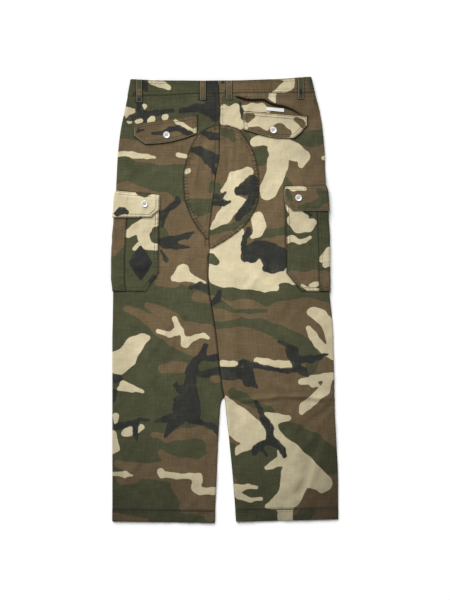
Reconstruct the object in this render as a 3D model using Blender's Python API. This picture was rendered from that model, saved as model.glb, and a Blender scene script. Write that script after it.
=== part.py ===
"""Woodland camouflage cargo pants, lying flat on their front with the back side up.

The frame is +Y towards the waist, +Z up and the wearer's left at -X. Every size below is in
millimetres, and wall_object turns the points into metres. The cloth is a wall between two grids
of points. A leg is a flat tube: its edges come from the table of sections, its lower face rests
on z = 0, its upper face lies one loft above, and a quarter turn of cloth joins them at each edge.
What lies on a panel uses the same points, moved out.
"""

import math

import bmesh
import bpy
import numpy as np

MM = 0.001

# Cloth and clearances
CLOTH = 1.2  # wall of one layer
BAND_CLOTH = 2.0  # waistband, two layers with a stay
FLAP_CLOTH = 1.6  # pocket flaps, two layers
SEAM_GAP = 0.3
LAY_GAP = 0.4  # between a panel and what lies on it

# The flat tube of a leg
LOFT = 6.0  # lower face to upper face
PRESSED_LOFT = 4.2  # the same where the other leg lies on this one
PRESSED_WIDTH = 60.0
TURN_REACH = 4.0  # how far in from its edge the cloth turns
TURN_LENGTH = 5.5  # cloth that the quarter turn takes up
CROTCH_Y = 121.0
CROSSED_Y = 96.0  # from here down the right leg lies on the left one
CROSS_LIFT = 5.4
CROSS_MARGIN = 8.0
CROSS_SLOPE = 34.0

BACK_COLUMNS = 4  # steps across a panel's middle, beside its fixed columns
FRONT_COLUMNS = 2

# Waistband, belt loops and hems
BAND_NOMINAL = 495.0
BAND_TOP_NOMINAL = 530.0
BAND_OUT = 0.4
WAIST_RISE = 2.4  # room under the front for its loops and button
LOOP_WIDTH = 13.0
LOOP_DROP = 15.0  # how far a loop runs below the waistband seam
LOOP_ARCH = 1.0
HEM_NOMINAL = -533.0
HEM_DEPTH = 28.0
WARP_LENGTH = 110.0

# Cargo pockets, measured round the side fold
POCKET_CHAMFER = 44.0
PLEAT_STEP = 4.0
PLEAT_RISE = 0.6
FLAP_CHAMFER = 24.0
POCKET_UNDER_RISE = 2.3
FLAP_UNDER_RISE = 1.9
BUTTON_UNDER_RISE = 2.1
RISE_FLANK = 45.0

# Buttons
BUTTON_RADIUS = 8.0
BUTTON_HEIGHT = 2.2
FLAT_BUTTON_HEIGHT = 1.6
BUTTON_SIDES = 10

# Colours
GREEN = (0.085, 0.095, 0.050)
BROWN = (0.155, 0.105, 0.062)
TAN = (0.70, 0.62, 0.41)
BLACK = (0.022, 0.021, 0.020)
WHITE = (0.75, 0.74, 0.70)
SILVER = (0.62, 0.61, 0.58)


def table(columns, rows):
    """A dictionary of arrays, one for each named column."""
    return dict(zip(columns.split(), np.array(rows, float).T))


SECTIONS = table(
    "y left_outer left_inner right_inner right_outer",
    [
        (537, -225, -16, -16, 205),
        (495, -234, -14, -14, 216),
        (455, -242, -13, -13, 227),
        (415, -250, -13, -13, 234),
        (345, -258, -14, -14, 240),
        (307, -260, -21, -21, 241),
        (230, -263, -30, -30, 245),
        (153, -268, -38, -38, 249),
        (CROTCH_Y, -270, -38, -38, 250),
        (CROSSED_Y, -271, -40, -40, 250),
        (60, -271, 0, -40, 250),
        (21, -269, 4, -37, 251),
        (-41, -270, 6, -27, 257),
        (-90, -271, 7, -20, 260),
        (-173, -271, 8, -11, 262),
        (-215, -271, 7, -5, 263),
        (-230, -271, 3, -2, 263),
        (-240, -271, -8, 0, 264),
        (-262, -271, -12, 2, 264),
        (-327, -271, -16, 9, 267),
        (-442, -271, -21, 20, 272),
        (-536, -271, -25, 27, 272),
    ],
)

WAIST = table(
    "x band_top band_seam",
    [
        (-235, 531, 489),
        (-150, 527.5, 490.5),
        (-60, 527, 495.5),
        (20, 527.5, 496),
        (100, 530, 497),
        (215, 537, 497),
    ],
)

HEM = table("x end", [(-271, -532), (-25, -536), (27, -533), (272, -527)])

SEAT_PATCH = table(
    "y left right",
    [
        (419, -24, 6),
        (410, -46, 33),
        (396, -64, 43),
        (370, -80, 61),
        (335, -92, 74),
        (290, -99, 81),
        (245, -96, 80),
        (205, -83, 66),
        (175, -66, 43),
        (146, -46, 6),
        (124, -44, -31),
    ],
)
SEAT_LOW = {-1: 147.0, 1: 124.0}

BACK_FLAP = {
    -1: table(
        "x top low",
        [
            (-218, 420, 395),
            (-205, 422, 384),
            (-191, 425, 374.5),
            (-160, 430, 376),
            (-130, 434, 380),
            (-100, 438, 388),
            (-68, 443, 399),
        ],
    ),
    1: table(
        "x top low",
        [
            (45, 452, 410),
            (62, 451, 404),
            (90, 449, 396),
            (122, 446, 389.5),
            (165, 442.5, 388.5),
            (181, 441, 401),
            (197, 439.5, 420),
        ],
    ),
}

# A pocket's reach is measured in from the outseam's turn at its top. It grows by the lean for each
# millimetre down, so that the edge hangs straight while the leg widens.
POCKET = {
    -1: {
        "top": 262.0,
        "slope": 10.0,
        "body_top": 246.0,
        "flap_low": 198.0,
        "low": 21.0,
        "reach": 99.5,
        "lean": 0.04,
        "pleat": 25.0,
    },
    1: {
        "top": 275.0,
        "slope": 3.0,
        "body_top": 262.0,
        "flap_low": 214.0,
        "low": 21.0,
        "reach": 96.0,
        "lean": 0.01,
        "pleat": 20.0,
    },
}

# Every panel has its rows at the same nominal heights, so that edges sewn together match. Each
# stretch runs down from one height to the next in its own number of steps.
STRETCHES = table(
    "start steps",
    [
        (BAND_NOMINAL, 4),
        (450, 2),
        (405, 3),
        (275, 1),
        (262, 1),
        (246, 3),  # 230, 214 and 198 are rows too: the flaps' free edges
        (198, 2),
        (CROTCH_Y, 1),
        (CROSSED_Y, 2),
        (65, 1),
        (21, 4),
        (-215, 1),
        (-232, 1),
        (-245, 1),
        (-275, 4),
        (HEM_NOMINAL + HEM_DEPTH, 1),
        (HEM_NOMINAL + HEM_DEPTH - 2, 1),
        (HEM_NOMINAL, 0),
    ],
)

BACK_BUTTON = {-1: (-140.0, 396.0), 1: (116.5, 408.0)}
CARGO_BUTTON = {-1: (70.5, 230.0), 1: (68.0, 244.5)}  # distance in from the side, y
WAIST_BUTTON = (-32.0, 512.0)
BACK_LOOPS = {"left_side": -206.0, "left_centre": -53.0, "right_centre": 10.0, "right_side": 182.0}
FRONT_LOOPS = {"front_left": -125.0, "front_right": 100.0}
FLY = {"half_width": 20.0, "top": 486.0, "low": 305.0, "gap": 0.6}
TAG = {"x": (99.0, 142.0), "y": (453.5, 461.5), "cloth": 1.0, "gap": 1.2}
LEATHER = {"centre": (-203.0, 90.0), "half_width": 27.0, "half_height": 40.0, "thick": 1.4}

# The largest folds: a ridge, or a trough where the rise is negative, from one end to the other.
FOLDS = table(
    "x0 y0 x1 y1 rise width",
    [
        (15, 494, 95, 488, 2.6, 11),  # gape above the right back flap
        (95, 488, 165, 466, 2.8, 11),
        (60, 474, 165, 458, -1.0, 10),
        (215, -372, 190, -462, 1.8, 20),  # drag folds down the right leg
        (150, -290, 205, -352, -1.0, 26),
        (-215, -60, -190, -210, 1.0, 30),  # soft folds down the left leg
        (-70, -150, -95, -330, 0.9, 28),
        (-160, 170, -70, 95, 1.0, 26),  # under the seat
        (60, 70, 140, 10, 1.0, 28),
    ],
)


def smooth(t):
    """0 below 0, 1 above 1, and the curve 3tt - 2ttt between."""
    t = np.clip(t, 0.0, 1.0)
    return t * t * (3.0 - 2.0 * t)


def along(column, source, key, at):
    """A column of a table read at any key, by cubics that never pass beyond two neighbours."""
    x = source[key]
    y = source[column]
    if x[0] > x[-1]:
        x = x[::-1]
        y = y[::-1]
    at = np.clip(at, x[0], x[-1])
    step = np.diff(x)
    slope = np.diff(y) / step
    product = slope[1:] * slope[:-1]
    total = slope[1:] + slope[:-1]
    inner = np.where(product > 0, 2.0 * product / np.where(total == 0, 1.0, total), 0.0)
    tangent = np.concatenate([slope[:1], inner, slope[-1:]])
    i = np.clip(np.searchsorted(x, at) - 1, 0, len(x) - 2)
    t = (at - x[i]) / step[i]
    rise = y[i + 1] - y[i]
    bend = t * (1 - t) * ((1 - t) * (tangent[i] * step[i] - rise) - t * (tangent[i + 1] * step[i] - rise))
    return y[i] + rise * t + bend


def outer_edge(side, y):
    return along("left_outer" if side < 0 else "right_outer", SECTIONS, "y", y)


def inner_edge(side, y):
    return along("left_inner" if side < 0 else "right_inner", SECTIONS, "y", y)


def pocket_reach(side, y):
    """How far in from the outseam's turn a cargo pocket reaches at a height."""
    pocket = POCKET[side]
    return pocket["reach"] + pocket["lean"] * np.clip(pocket["top"] - y, 0, pocket["top"] - pocket["low"])


def under_pocket(side, x, y):
    """How far the hidden half of a cargo pocket, its flap and its button lift the cloth above."""
    pocket = POCKET[side]
    inward = side * (outer_edge(side, y) - x)
    across = 1 - smooth((inward - pocket_reach(side, y) - 5) / RISE_FLANK)
    above = 1 - smooth((y - pocket["top"] - 3) / RISE_FLANK)
    over_low = 1 - smooth((pocket["low"] - y) / RISE_FLANK)
    over_flap = 1 - smooth((pocket["flap_low"] - y) / RISE_FLANK)
    reach, height = CARGO_BUTTON[side]
    away = np.hypot(inward - reach, y - height)
    button = BUTTON_UNDER_RISE * (1 - smooth((away - 12) / 65))
    return across * above * (POCKET_UNDER_RISE * over_low + FLAP_UNDER_RISE * over_flap + button)


def crossing(side, x, y):
    """How far the right leg is lifted by the edge of the left leg under it."""
    if side < 0:
        return 0.0 * x
    past = x - inner_edge(-1, y) - CROSS_MARGIN
    begun = smooth((CROTCH_Y - y) / (CROTCH_Y - CROSSED_Y))
    return CROSS_LIFT * begun * (1 - smooth(past / CROSS_SLOPE))


def lower_face(side, x, y):
    """Height of the front panel's outer face: 0 where it rests, higher over what lies under it."""
    waist = WAIST_RISE * smooth((y - 430) / 50)
    return waist + under_pocket(side, x, y) + crossing(side, x, y)


def folds(x, y):
    """The sum of the table's ridges: a bell curve across each line, fading past its ends."""
    total = 0.0 * x
    for x0, y0, x1, y1, rise, width in zip(*FOLDS.values()):
        length = math.hypot(x1 - x0, y1 - y0)
        ahead = ((x - x0) * (x1 - x0) + (y - y0) * (y1 - y0)) / length
        aside = ((x - x0) * (y1 - y0) - (y - y0) * (x1 - x0)) / length
        beyond = np.maximum(np.maximum(-ahead, ahead - length), 0.0)
        total = total + rise * np.exp(-(aside**2 + beyond**2) / width**2)
    return total


def thickness(side, x, y):
    """Lower face to upper face: the loft, soft swells and folds, less where a leg is pressed."""
    swell = 0.5 * np.sin(x / 62 + 0.6) * np.sin(y / 95 + 0.4)
    if side < 0:
        edge = inner_edge(1, y)
        begun = smooth((CROTCH_Y - y) / (CROTCH_Y - CROSSED_Y)) * smooth((y + 300) / 50)
        pressed = begun * smooth((x - edge + PRESSED_WIDTH) / (PRESSED_WIDTH - 8))
    else:
        begun = smooth((CROTCH_Y - y) / (CROTCH_Y - CROSSED_Y)) * smooth((y + 300) / 50)
        pressed = 0.5 * begun * (1 - smooth((x - inner_edge(1, y)) / PRESSED_WIDTH))
    return (LOFT + swell + folds(x, y)) * (1 - pressed) + PRESSED_LOFT * pressed


def upper_face(side, x, y):
    return lower_face(side, x, y) + thickness(side, x, y)


def true_height(nominal, x):
    """A nominal row's y, moved to follow the waistband seam at the top and the hem at the end."""
    to_seam = smooth((nominal - BAND_NOMINAL + WARP_LENGTH) / WARP_LENGTH)
    to_hem = smooth((HEM_NOMINAL + WARP_LENGTH - nominal) / WARP_LENGTH)
    seam = along("band_seam", WAIST, "x", x) - BAND_NOMINAL
    end = np.interp(x, HEM["x"], HEM["end"]) - HEM_NOMINAL
    return nominal + to_seam * seam + to_hem * end


def panel_rows():
    """Nominal heights of the rows of every panel, from the waistband seam to the hem."""
    starts = STRETCHES["start"]
    steps = STRETCHES["steps"].astype(int)
    parts = [np.linspace(*ends, count, endpoint=False) for *ends, count in zip(starts, starts[1:], steps)]
    return np.concatenate([*parts, starts[-1:]])[:, None]


def rows_between(high, low, ends=()):
    """The panel rows from one height down to another, with any further heights given."""
    rows = panel_rows()[:, 0]
    inside = rows[(rows <= high + 0.1) & (rows >= low - 0.1)]
    return np.unique(np.concatenate([inside, ends]))[::-1, None]


def inward_columns(side, rows, columns):
    """Distances in from the outseam's turn of the columns across a panel's flat, for each row.

    The first are the cargo pocket's own columns, and the last two follow the crossing of the legs.
    """
    width = abs(inner_edge(side, rows) - outer_edge(side, rows)) - 2 * TURN_REACH
    overlap = np.clip(inner_edge(-1, rows) - inner_edge(1, rows), 8, None)
    last = width - overlap - CROSS_MARGIN
    before_last = last - CROSS_SLOPE
    near = np.array([0.0, POCKET[side]["pleat"] + 2, 68.0]) + 0 * width
    reach = pocket_reach(side, rows)
    spread = reach + (before_last - reach) * np.arange(1, columns) / columns
    return np.concatenate([near, reach, spread, before_last, last, width], axis=1)


def panel_points(side, face, rows, columns, out):
    """Points of a leg panel's grid, moved out of its face by a distance for each row.

    Columns run from the outseam, round its quarter turn, across the flat and round the inseam's
    quarter turn. Above the crotch that last turn lies flat, up to the centre seam.
    """
    turn = np.array([0.0, 0.5, 1.0])
    flat = inward_columns(side, rows, columns)
    inward = np.concatenate([flat[:, :1], flat[:, :1], flat, flat[:, -1:], flat[:, -1:]], axis=1)
    flat_x = outer_edge(side, rows) - side * (TURN_REACH + inward)
    between = np.zeros(inward.shape[1] - 5)
    turned_out = np.concatenate([np.cos(turn[:2] * math.pi / 2), between, np.zeros(3)])
    turned_in = np.concatenate([np.zeros(2), between, np.sin(turn * math.pi / 2)])
    in_step = np.concatenate([np.zeros(2), between, turn])
    up_out = np.concatenate([np.sin(turn[:2] * math.pi / 2), between + 1, np.ones(3)])
    up_in = np.concatenate([np.ones(2), between + 1, np.cos(turn * math.pi / 2)])
    folded = smooth((CROTCH_Y - rows) / (CROTCH_Y - CROSSED_Y))
    laid_flat = (1 - folded) * (TURN_REACH - SEAM_GAP / 2) * in_step
    moved_in = folded * (TURN_REACH + out) * turned_in + laid_flat
    x = flat_x + side * (TURN_REACH + out) * turned_out - side * moved_in
    y = true_height(rows, flat_x)
    low = lower_face(side, flat_x, y)
    half = thickness(side, flat_x, y) / 2
    up = up_out * (folded * up_in + (1 - folded))
    z = low + half + face * (SEAM_GAP / 2 + (half + out - SEAM_GAP / 2) * up)
    return np.stack([x, y, z], axis=-1)


def wrap_points(side, around, rows, out, lift=None):
    """Points on a leg's skin at a distance round it from the outseam, positive on the back."""
    far = np.abs(around)
    turn = np.clip(far / TURN_LENGTH, 0, 1) * math.pi / 2
    flat_x = outer_edge(side, rows) - side * (TURN_REACH + np.maximum(far - TURN_LENGTH, 0))
    y = true_height(rows, flat_x) if lift is None else lift(flat_x)
    half = thickness(side, flat_x, y) / 2
    x = flat_x + side * (TURN_REACH + out) * np.cos(turn)
    z = lower_face(side, flat_x, y) + half + np.sign(around) * (half + out) * np.sin(turn)
    return np.stack([x, y + 0 * z, z], axis=-1)


def laid_points(side, face, x, y, out):
    """Points above the back (face 1) or below the front (face -1) at a distance from its skin."""
    z = upper_face(side, x, y) + out if face > 0 else lower_face(side, x, y) - out
    return np.stack([x + 0 * z, y + 0 * z, z], axis=-1)


def finish_material(name, colour, roughness, metallic):
    material = bpy.data.materials.new(name)
    material.use_nodes = True
    shader = material.node_tree.nodes["Principled BSDF"]
    shader.inputs["Base Color"].default_value = (*colour, 1.0)
    shader.inputs["Roughness"].default_value = roughness
    shader.inputs["Metallic"].default_value = metallic
    return material


def object_from_mesh(name, mesh, colour, roughness=0.9, metallic=0.0):
    mesh.materials.append(finish_material(name, colour, roughness, metallic))
    piece = bpy.data.objects.new(name, mesh)
    bpy.context.scene.collection.objects.link(piece)
    return piece


def wall_object(name, outer, inner, colour, roughness=0.9):
    """A closed wall between two grids of points. Both skins split their cells the same way."""
    rows, columns = outer.shape[:2]
    index = np.arange(rows * columns).reshape(rows, columns)
    a, b, c, d = index[:-1, :-1], index[:-1, 1:], index[1:, 1:], index[1:, :-1]
    skin = np.concatenate([np.stack([a, b, c], -1).reshape(-1, 3), np.stack([a, c, d], -1).reshape(-1, 3)])
    rim = np.concatenate([index[0, :-1], index[:-1, -1], index[-1, :0:-1], index[:0:-1, 0]])
    following = np.roll(rim, -1)
    shift = rows * columns
    side_one = np.stack([rim, rim + shift, following], -1)
    side_two = np.stack([following, rim + shift, following + shift], -1)
    faces = np.concatenate([skin, skin[:, ::-1] + shift, side_one, side_two])
    points = np.concatenate([outer.reshape(-1, 3), inner.reshape(-1, 3)]) * MM
    mesh = bpy.data.meshes.new(name)
    mesh.from_pydata(points.tolist(), [], faces.tolist())
    edit = bmesh.new()
    edit.from_mesh(mesh)
    bmesh.ops.recalc_face_normals(edit, faces=edit.faces)
    edit.to_mesh(mesh)
    edit.free()
    mesh.shade_smooth()
    mesh.set_sharp_from_angle(angle=math.radians(40))
    return object_from_mesh(name, mesh, colour, roughness)


def side_name(side):
    return "left" if side < 0 else "right"


def build_panels():
    """Back and front of both legs. The wall doubles where the hem is turned in."""
    rows = panel_rows()
    wall = CLOTH * (1 + (rows < HEM_NOMINAL + HEM_DEPTH - 1))
    for side in (-1, 1):
        for face, label, columns in ((1, "back", BACK_COLUMNS), (-1, "front", FRONT_COLUMNS)):
            outer = panel_points(side, face, rows, columns, 0.0)
            inner = panel_points(side, face, rows, columns, -wall)
            wall_object(f"{label}_panel_{side_name(side)}", outer, inner, GREEN if side < 0 else BROWN)


def build_waistband():
    """Each half runs from the centre back round the side to the centre front."""
    nominal = np.linspace(BAND_NOMINAL, BAND_TOP_NOMINAL, 3)[:, None]
    share = np.linspace(0, 1, 3)[:, None]

    def height(x):
        seam = along("band_seam", WAIST, "x", x) + SEAM_GAP
        return seam + share * (along("band_top", WAIST, "x", x) - seam)

    for side in (-1, 1):
        back = TURN_LENGTH + inward_columns(side, nominal, BACK_COLUMNS)
        front = TURN_LENGTH + inward_columns(side, nominal, FRONT_COLUMNS)
        back[:, -1] += TURN_REACH - SEAM_GAP / 2
        front[:, -1] += TURN_REACH - SEAM_GAP / 2
        turn = TURN_LENGTH * np.array([-0.5, 0.0, 0.5]) + 0 * nominal
        around = np.concatenate([-front[:, ::-1], turn, back], axis=1)
        outer = wrap_points(side, around, nominal, BAND_OUT, height)
        inner = wrap_points(side, around, nominal, BAND_OUT - BAND_CLOTH, height)
        wall_object(f"waistband_{side_name(side)}", outer, inner, GREEN if side < 0 else BROWN)


def build_belt_loops():
    """Narrow strips over the band, sewn flat at both ends and arched between."""
    share = np.linspace(0, 1, 5)[:, None]
    for face, loops in ((1, BACK_LOOPS), (-1, FRONT_LOOPS)):
        for name, centre in loops.items():
            side = -1 if centre < inner_edge(1, BAND_NOMINAL) else 1
            x = centre + LOOP_WIDTH * np.array([[-0.5, 0.5]])
            top = along("band_top", WAIST, "x", np.array(centre))
            low = along("band_seam", WAIST, "x", np.array(centre)) - LOOP_DROP
            y = low + share * (top - low)
            arch = LOOP_ARCH * np.sin(math.pi * share) if face > 0 else 0.0 * share
            out = BAND_OUT + LAY_GAP + arch
            outer = laid_points(side, face, x, y, out + CLOTH)
            inner = laid_points(side, face, x, y, out)
            wall_object(f"belt_loop_{name}", outer, inner, BROWN)


def build_seat_patches():
    """Two halves of an oval, from the centre seam to the rim, with more rows at its round ends."""
    for side, low in SEAT_LOW.items():
        top = SEAT_PATCH["y"][0]
        y = rows_between(top, low, [top, 413, 147, low])
        y = y[y[:, 0] >= low]
        seam = inner_edge(side, y) + side * SEAM_GAP / 2
        rim = along(side_name(side), SEAT_PATCH, "y", y)
        x = seam + (rim - seam) * np.linspace(0, 1, 5)
        outer = laid_points(side, 1, x, y, LAY_GAP + CLOTH)
        inner = laid_points(side, 1, x, y, LAY_GAP)
        wall_object(f"seat_patch_{side_name(side)}", outer, inner, BROWN)


def build_back_flaps():
    """Each flap hangs from its upper edge, and its free edge stands off a little."""
    share = np.linspace(0, 1, 4)[:, None]
    for side, flap in BACK_FLAP.items():
        x = flap["x"][None, :]
        y = flap["top"] + share * (flap["low"] - flap["top"])
        out = LAY_GAP + 0.2 + 0.4 * share
        outer = laid_points(side, 1, x, y, out + FLAP_CLOTH)
        inner = laid_points(side, 1, x, y, out)
        wall_object(f"back_flap_{side_name(side)}", outer, inner, BROWN)


def around_columns(pleat, reach):
    """Distances round the side fold, the same on both sides of it, out to a reach for each row."""
    near = np.array([0.0, pleat, pleat + PLEAT_STEP, 68.0])
    half = np.concatenate([near + 0 * reach, reach], axis=1) + TURN_LENGTH
    half = np.minimum(half, reach + TURN_LENGTH)
    turn = TURN_LENGTH * np.array([-0.5, 0.0, 0.5]) + 0 * reach
    return np.concatenate([-half[:, ::-1], turn, half], axis=1)


def build_cargo_pockets():
    """A pocket round the outseam, its middle raised between two pleats, under a flap."""
    for side, pocket in POCKET.items():
        rows = rows_between(pocket["body_top"], pocket["low"])
        cut = POCKET_CHAMFER * np.clip((pocket["low"] + POCKET_CHAMFER - rows) / POCKET_CHAMFER, 0, 1)
        around = around_columns(pocket["pleat"], pocket_reach(side, rows) - 0.8 * cut)
        middle = np.abs(around) < TURN_LENGTH + pocket["pleat"] + 0.1
        out = LAY_GAP + PLEAT_RISE * middle
        outer = wrap_points(side, around, rows, out + CLOTH)
        inner = wrap_points(side, around, rows, out)
        wall_object(f"cargo_pocket_{side_name(side)}", outer, inner, GREEN)
        build_cargo_flap(side, pocket)


def build_cargo_flap(side, pocket):
    """The flap: sewn to the panel above the pocket, then lying over it, with two cut corners."""
    rows = rows_between(pocket["top"], pocket["flap_low"])
    share = (pocket["top"] - rows) / (pocket["top"] - pocket["flap_low"])
    reach = pocket_reach(side, rows)
    around = around_columns(pocket["pleat"], reach + 1 - FLAP_CHAMFER * (share > 0.9))
    above_pocket = LAY_GAP + CLOTH + PLEAT_RISE + LAY_GAP
    out = np.where(share == 0, LAY_GAP, above_pocket)

    def height(x):
        inward = side * (outer_edge(side, rows) - x)
        return rows - (share == 0) * pocket["slope"] * inward / reach

    outer = wrap_points(side, around, rows, out + FLAP_CLOTH, height)
    inner = wrap_points(side, around, rows, out, height)
    wall_object(f"cargo_flap_{side_name(side)}", outer, inner, TAN if side < 0 else GREEN)


def build_fly():
    """A strip inside the front, behind the place where its panels meet."""
    rows = rows_between(FLY["top"], FLY["low"])
    x = inner_edge(1, rows) + FLY["half_width"] * np.array([[-1.0, 0.0, 1.0]])
    y = true_height(rows, x)
    outer = laid_points(-1, -1, x, y, -CLOTH - FLY["gap"])
    inner = laid_points(-1, -1, x, y, -2 * CLOTH - FLY["gap"])
    wall_object("fly_placket", outer, inner, BROWN)


def build_tag_and_patch():
    """A plain woven tag above the right back flap, and a plain leather lozenge on a pocket."""
    x = np.linspace(*TAG["x"], 4)[None, :]
    y = np.linspace(*TAG["y"], 3)[:, None]
    outer = laid_points(1, 1, x, y, TAG["gap"] + TAG["cloth"])
    inner = laid_points(1, 1, x, y, TAG["gap"])
    wall_object("blank_tag", outer, inner, WHITE)
    level = np.linspace(-1, 1, 9)[:, None]
    half = 3 + (LEATHER["half_width"] - 3) * (1 - np.abs(level) ** 1.25)
    x = LEATHER["centre"][0] + half * np.linspace(-1, 1, 4)
    y = LEATHER["centre"][1] + LEATHER["half_height"] * level
    out = LAY_GAP + CLOTH + LAY_GAP
    outer = laid_points(-1, 1, x, y, out + LEATHER["thick"])
    inner = laid_points(-1, 1, x, y, out)
    wall_object("leather_patch", outer, inner, BLACK, 0.45)


def turned_button(name, x, y, bottom, height, facing):
    """A button turned from a profile of rings: flat base, round rim, sunk middle."""
    rings = table(
        "radius level",
        [(0.55, 0.0), (0.92, 0.25), (1.0, 0.62), (0.86, 1.0), (0.66, 0.94), (0.56, 0.66)],
    )
    angle = np.arange(BUTTON_SIDES) * 2 * math.pi / BUTTON_SIDES
    radius = BUTTON_RADIUS * rings["radius"][:, None]
    level = height * (rings["level"][:, None] if facing > 0 else 1 - rings["level"][:, None])
    points = np.stack([x + radius * np.cos(angle), y + radius * np.sin(angle), bottom + level + 0 * angle], -1)
    count = len(rings["radius"])
    index = np.arange(count * BUTTON_SIDES).reshape(count, BUTTON_SIDES)
    turned = np.roll(index, -1, axis=1)
    skin = np.stack([index[:-1], turned[:-1], turned[1:], index[1:]], -1).reshape(-1, 4).tolist()
    mesh = bpy.data.meshes.new(name)
    mesh.from_pydata((points.reshape(-1, 3) * MM).tolist(), [], skin + [index[0].tolist(), index[-1].tolist()])
    edit = bmesh.new()
    edit.from_mesh(mesh)
    bmesh.ops.recalc_face_normals(edit, faces=edit.faces)
    edit.to_mesh(mesh)
    edit.free()
    mesh.shade_smooth()
    mesh.set_sharp_from_angle(angle=math.radians(50))
    object_from_mesh(name, mesh, SILVER, 0.35, 0.9)


def highest_under(side, face, x, y, out):
    """The most that the skin, moved out, reaches towards a button's base anywhere under it."""
    angle = np.arange(BUTTON_SIDES) * 2 * math.pi / BUTTON_SIDES
    ring_x = x + BUTTON_RADIUS * np.cos(angle)
    ring_y = y + BUTTON_RADIUS * np.sin(angle)
    z = laid_points(side, face, ring_x, ring_y, out)[:, 2]
    return z.max() if face > 0 else z.min()


def build_buttons():
    """Buttons on the back flaps, on both halves of each cargo flap, and on the waistband."""
    cargo_out = 2 * LAY_GAP + CLOTH + PLEAT_RISE + FLAP_CLOTH
    for side in (-1, 1):
        name = side_name(side)
        x, y = BACK_BUTTON[side]
        base = highest_under(side, 1, x, y, LAY_GAP + 0.6 + FLAP_CLOTH) + LAY_GAP
        turned_button(f"back_button_{name}", x, y, base, BUTTON_HEIGHT, 1)
        inward, y = CARGO_BUTTON[side]
        x = outer_edge(side, y) - side * inward
        base = highest_under(side, 1, x, y, cargo_out) + LAY_GAP
        turned_button(f"cargo_button_{name}_back", x, y, base, BUTTON_HEIGHT, 1)
        base = highest_under(side, -1, x, y, cargo_out) - LAY_GAP - FLAT_BUTTON_HEIGHT
        turned_button(f"cargo_button_{name}_front", x, y, base, FLAT_BUTTON_HEIGHT, -1)
    x, y = WAIST_BUTTON
    base = highest_under(-1, -1, x, y, BAND_OUT) - SEAM_GAP - FLAT_BUTTON_HEIGHT
    turned_button("waist_button", x, y, base, FLAT_BUTTON_HEIGHT, -1)


def centre_on_origin():
    """Moves every mesh so that the whole stands on z = 0 with its middle over the origin."""
    meshes = [piece.data for piece in bpy.context.scene.collection.objects]
    points = np.concatenate([[tuple(v.co) for v in mesh.vertices] for mesh in meshes])
    low = points.min(axis=0)
    high = points.max(axis=0)
    shift = (-(low[0] + high[0]) / 2, -(low[1] + high[1]) / 2, -low[2])
    for mesh in meshes:
        for vertex in mesh.vertices:
            vertex.co = [a + b for a, b in zip(vertex.co, shift)]


def main():
    for piece in list(bpy.data.objects):
        bpy.data.objects.remove(piece, do_unlink=True)
    build_panels()
    build_waistband()
    build_belt_loops()
    build_seat_patches()
    build_back_flaps()
    build_cargo_pockets()
    build_fly()
    build_tag_and_patch()
    build_buttons()
    centre_on_origin()


main()
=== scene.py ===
"""Camouflage cargo trousers, lying flat with the back up: the finished cloth, print and sewing.

Sizes are in millimetres until a mesh is made. A leg is a flat tube. Its edges come from a table
of sections, its lower face from what lies under it, and its upper face from its thickness, folds
and creases. Every piece is a wall between two grids of points on those faces, moved out.
"""

import math

import bpy
import numpy as np
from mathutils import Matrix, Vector


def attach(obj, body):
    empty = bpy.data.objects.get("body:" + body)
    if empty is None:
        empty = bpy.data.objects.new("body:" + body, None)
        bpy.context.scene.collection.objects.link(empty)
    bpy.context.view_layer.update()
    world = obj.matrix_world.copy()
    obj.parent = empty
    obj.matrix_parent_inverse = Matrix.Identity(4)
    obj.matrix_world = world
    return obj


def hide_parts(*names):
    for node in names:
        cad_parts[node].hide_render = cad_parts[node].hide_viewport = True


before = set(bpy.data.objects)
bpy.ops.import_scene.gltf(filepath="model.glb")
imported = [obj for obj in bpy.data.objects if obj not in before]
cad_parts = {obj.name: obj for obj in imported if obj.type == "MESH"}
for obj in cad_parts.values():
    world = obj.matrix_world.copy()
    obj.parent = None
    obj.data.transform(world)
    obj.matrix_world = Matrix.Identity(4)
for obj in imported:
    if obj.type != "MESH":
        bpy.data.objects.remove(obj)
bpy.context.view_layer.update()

MM = 0.001

CLOTH = 0.9  # thickness of one layer
BAND_CLOTH = 1.8
FLAP_CLOTH = 1.5
SEAM_GAP = 0.3  # between two pieces that meet at a seam
LAY_GAP = 0.3  # between a sewn-on piece and the cloth under it
LOFT = 6.0  # thickness of a leg that lies free
PRESSED_LOFT = 4.0
PRESSED_WIDTH = 60.0
TURN_REACH = 4.0  # how far in a leg's rounded edge reaches
TURN_LENGTH = 5.5  # how much cloth goes round it on each face
CROTCH_Y = 121.0
CROSSED_Y = 96.0  # the legs cross from here down, until they part
CROSS_LIFT = 5.4
CROSS_MARGIN = 8.0
CROSS_SLOPE = 34.0
POCKET_UNDER = 2.3  # how far the front is lifted by what a pocket, a flap and a button add under it
FLAP_UNDER = 1.9
BUTTON_UNDER = 2.1
UNDER_FLANK = 45.0
BAND_NOMINAL = 495.0  # the band's seam and top on the rows, before they follow its table
BAND_TOP_NOMINAL = 530.0
BAND_MIDDLE = 510.0
BAND_DEPTH = 34.0
BAND_OUT = 0.7
WAIST_RISE = 2.4
FINE_LOW = 436.0  # the panels have closer rows from here up to the band
LOOP_WIDTH = 13.0
LOOP_DROP = 15.0
HEM_NOMINAL = -533.0
HEM_DEPTH = 28.0
HEM_ROW = 27.0  # height of its stitches above the hem's end
HEM_PUCKERS = 26.0  # height of the middle of the puckers that the finish shows there
WARP_LENGTH = 110.0  # how far from the band and the hem the rows bend to follow them
POCKET_CHAMFER = 44.0
FLAP_CHAMFER = 22.0
FELLED_ROWS = (2.6, 8.6)  # how far the felled centre seam's rows and far edge are from the seam
FELLED_EDGE = 10.4
BUTTON_RADIUS = 8.0
BUTTON_HEIGHT = 2.2
FLAT_BUTTON_HEIGHT = 1.6
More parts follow.
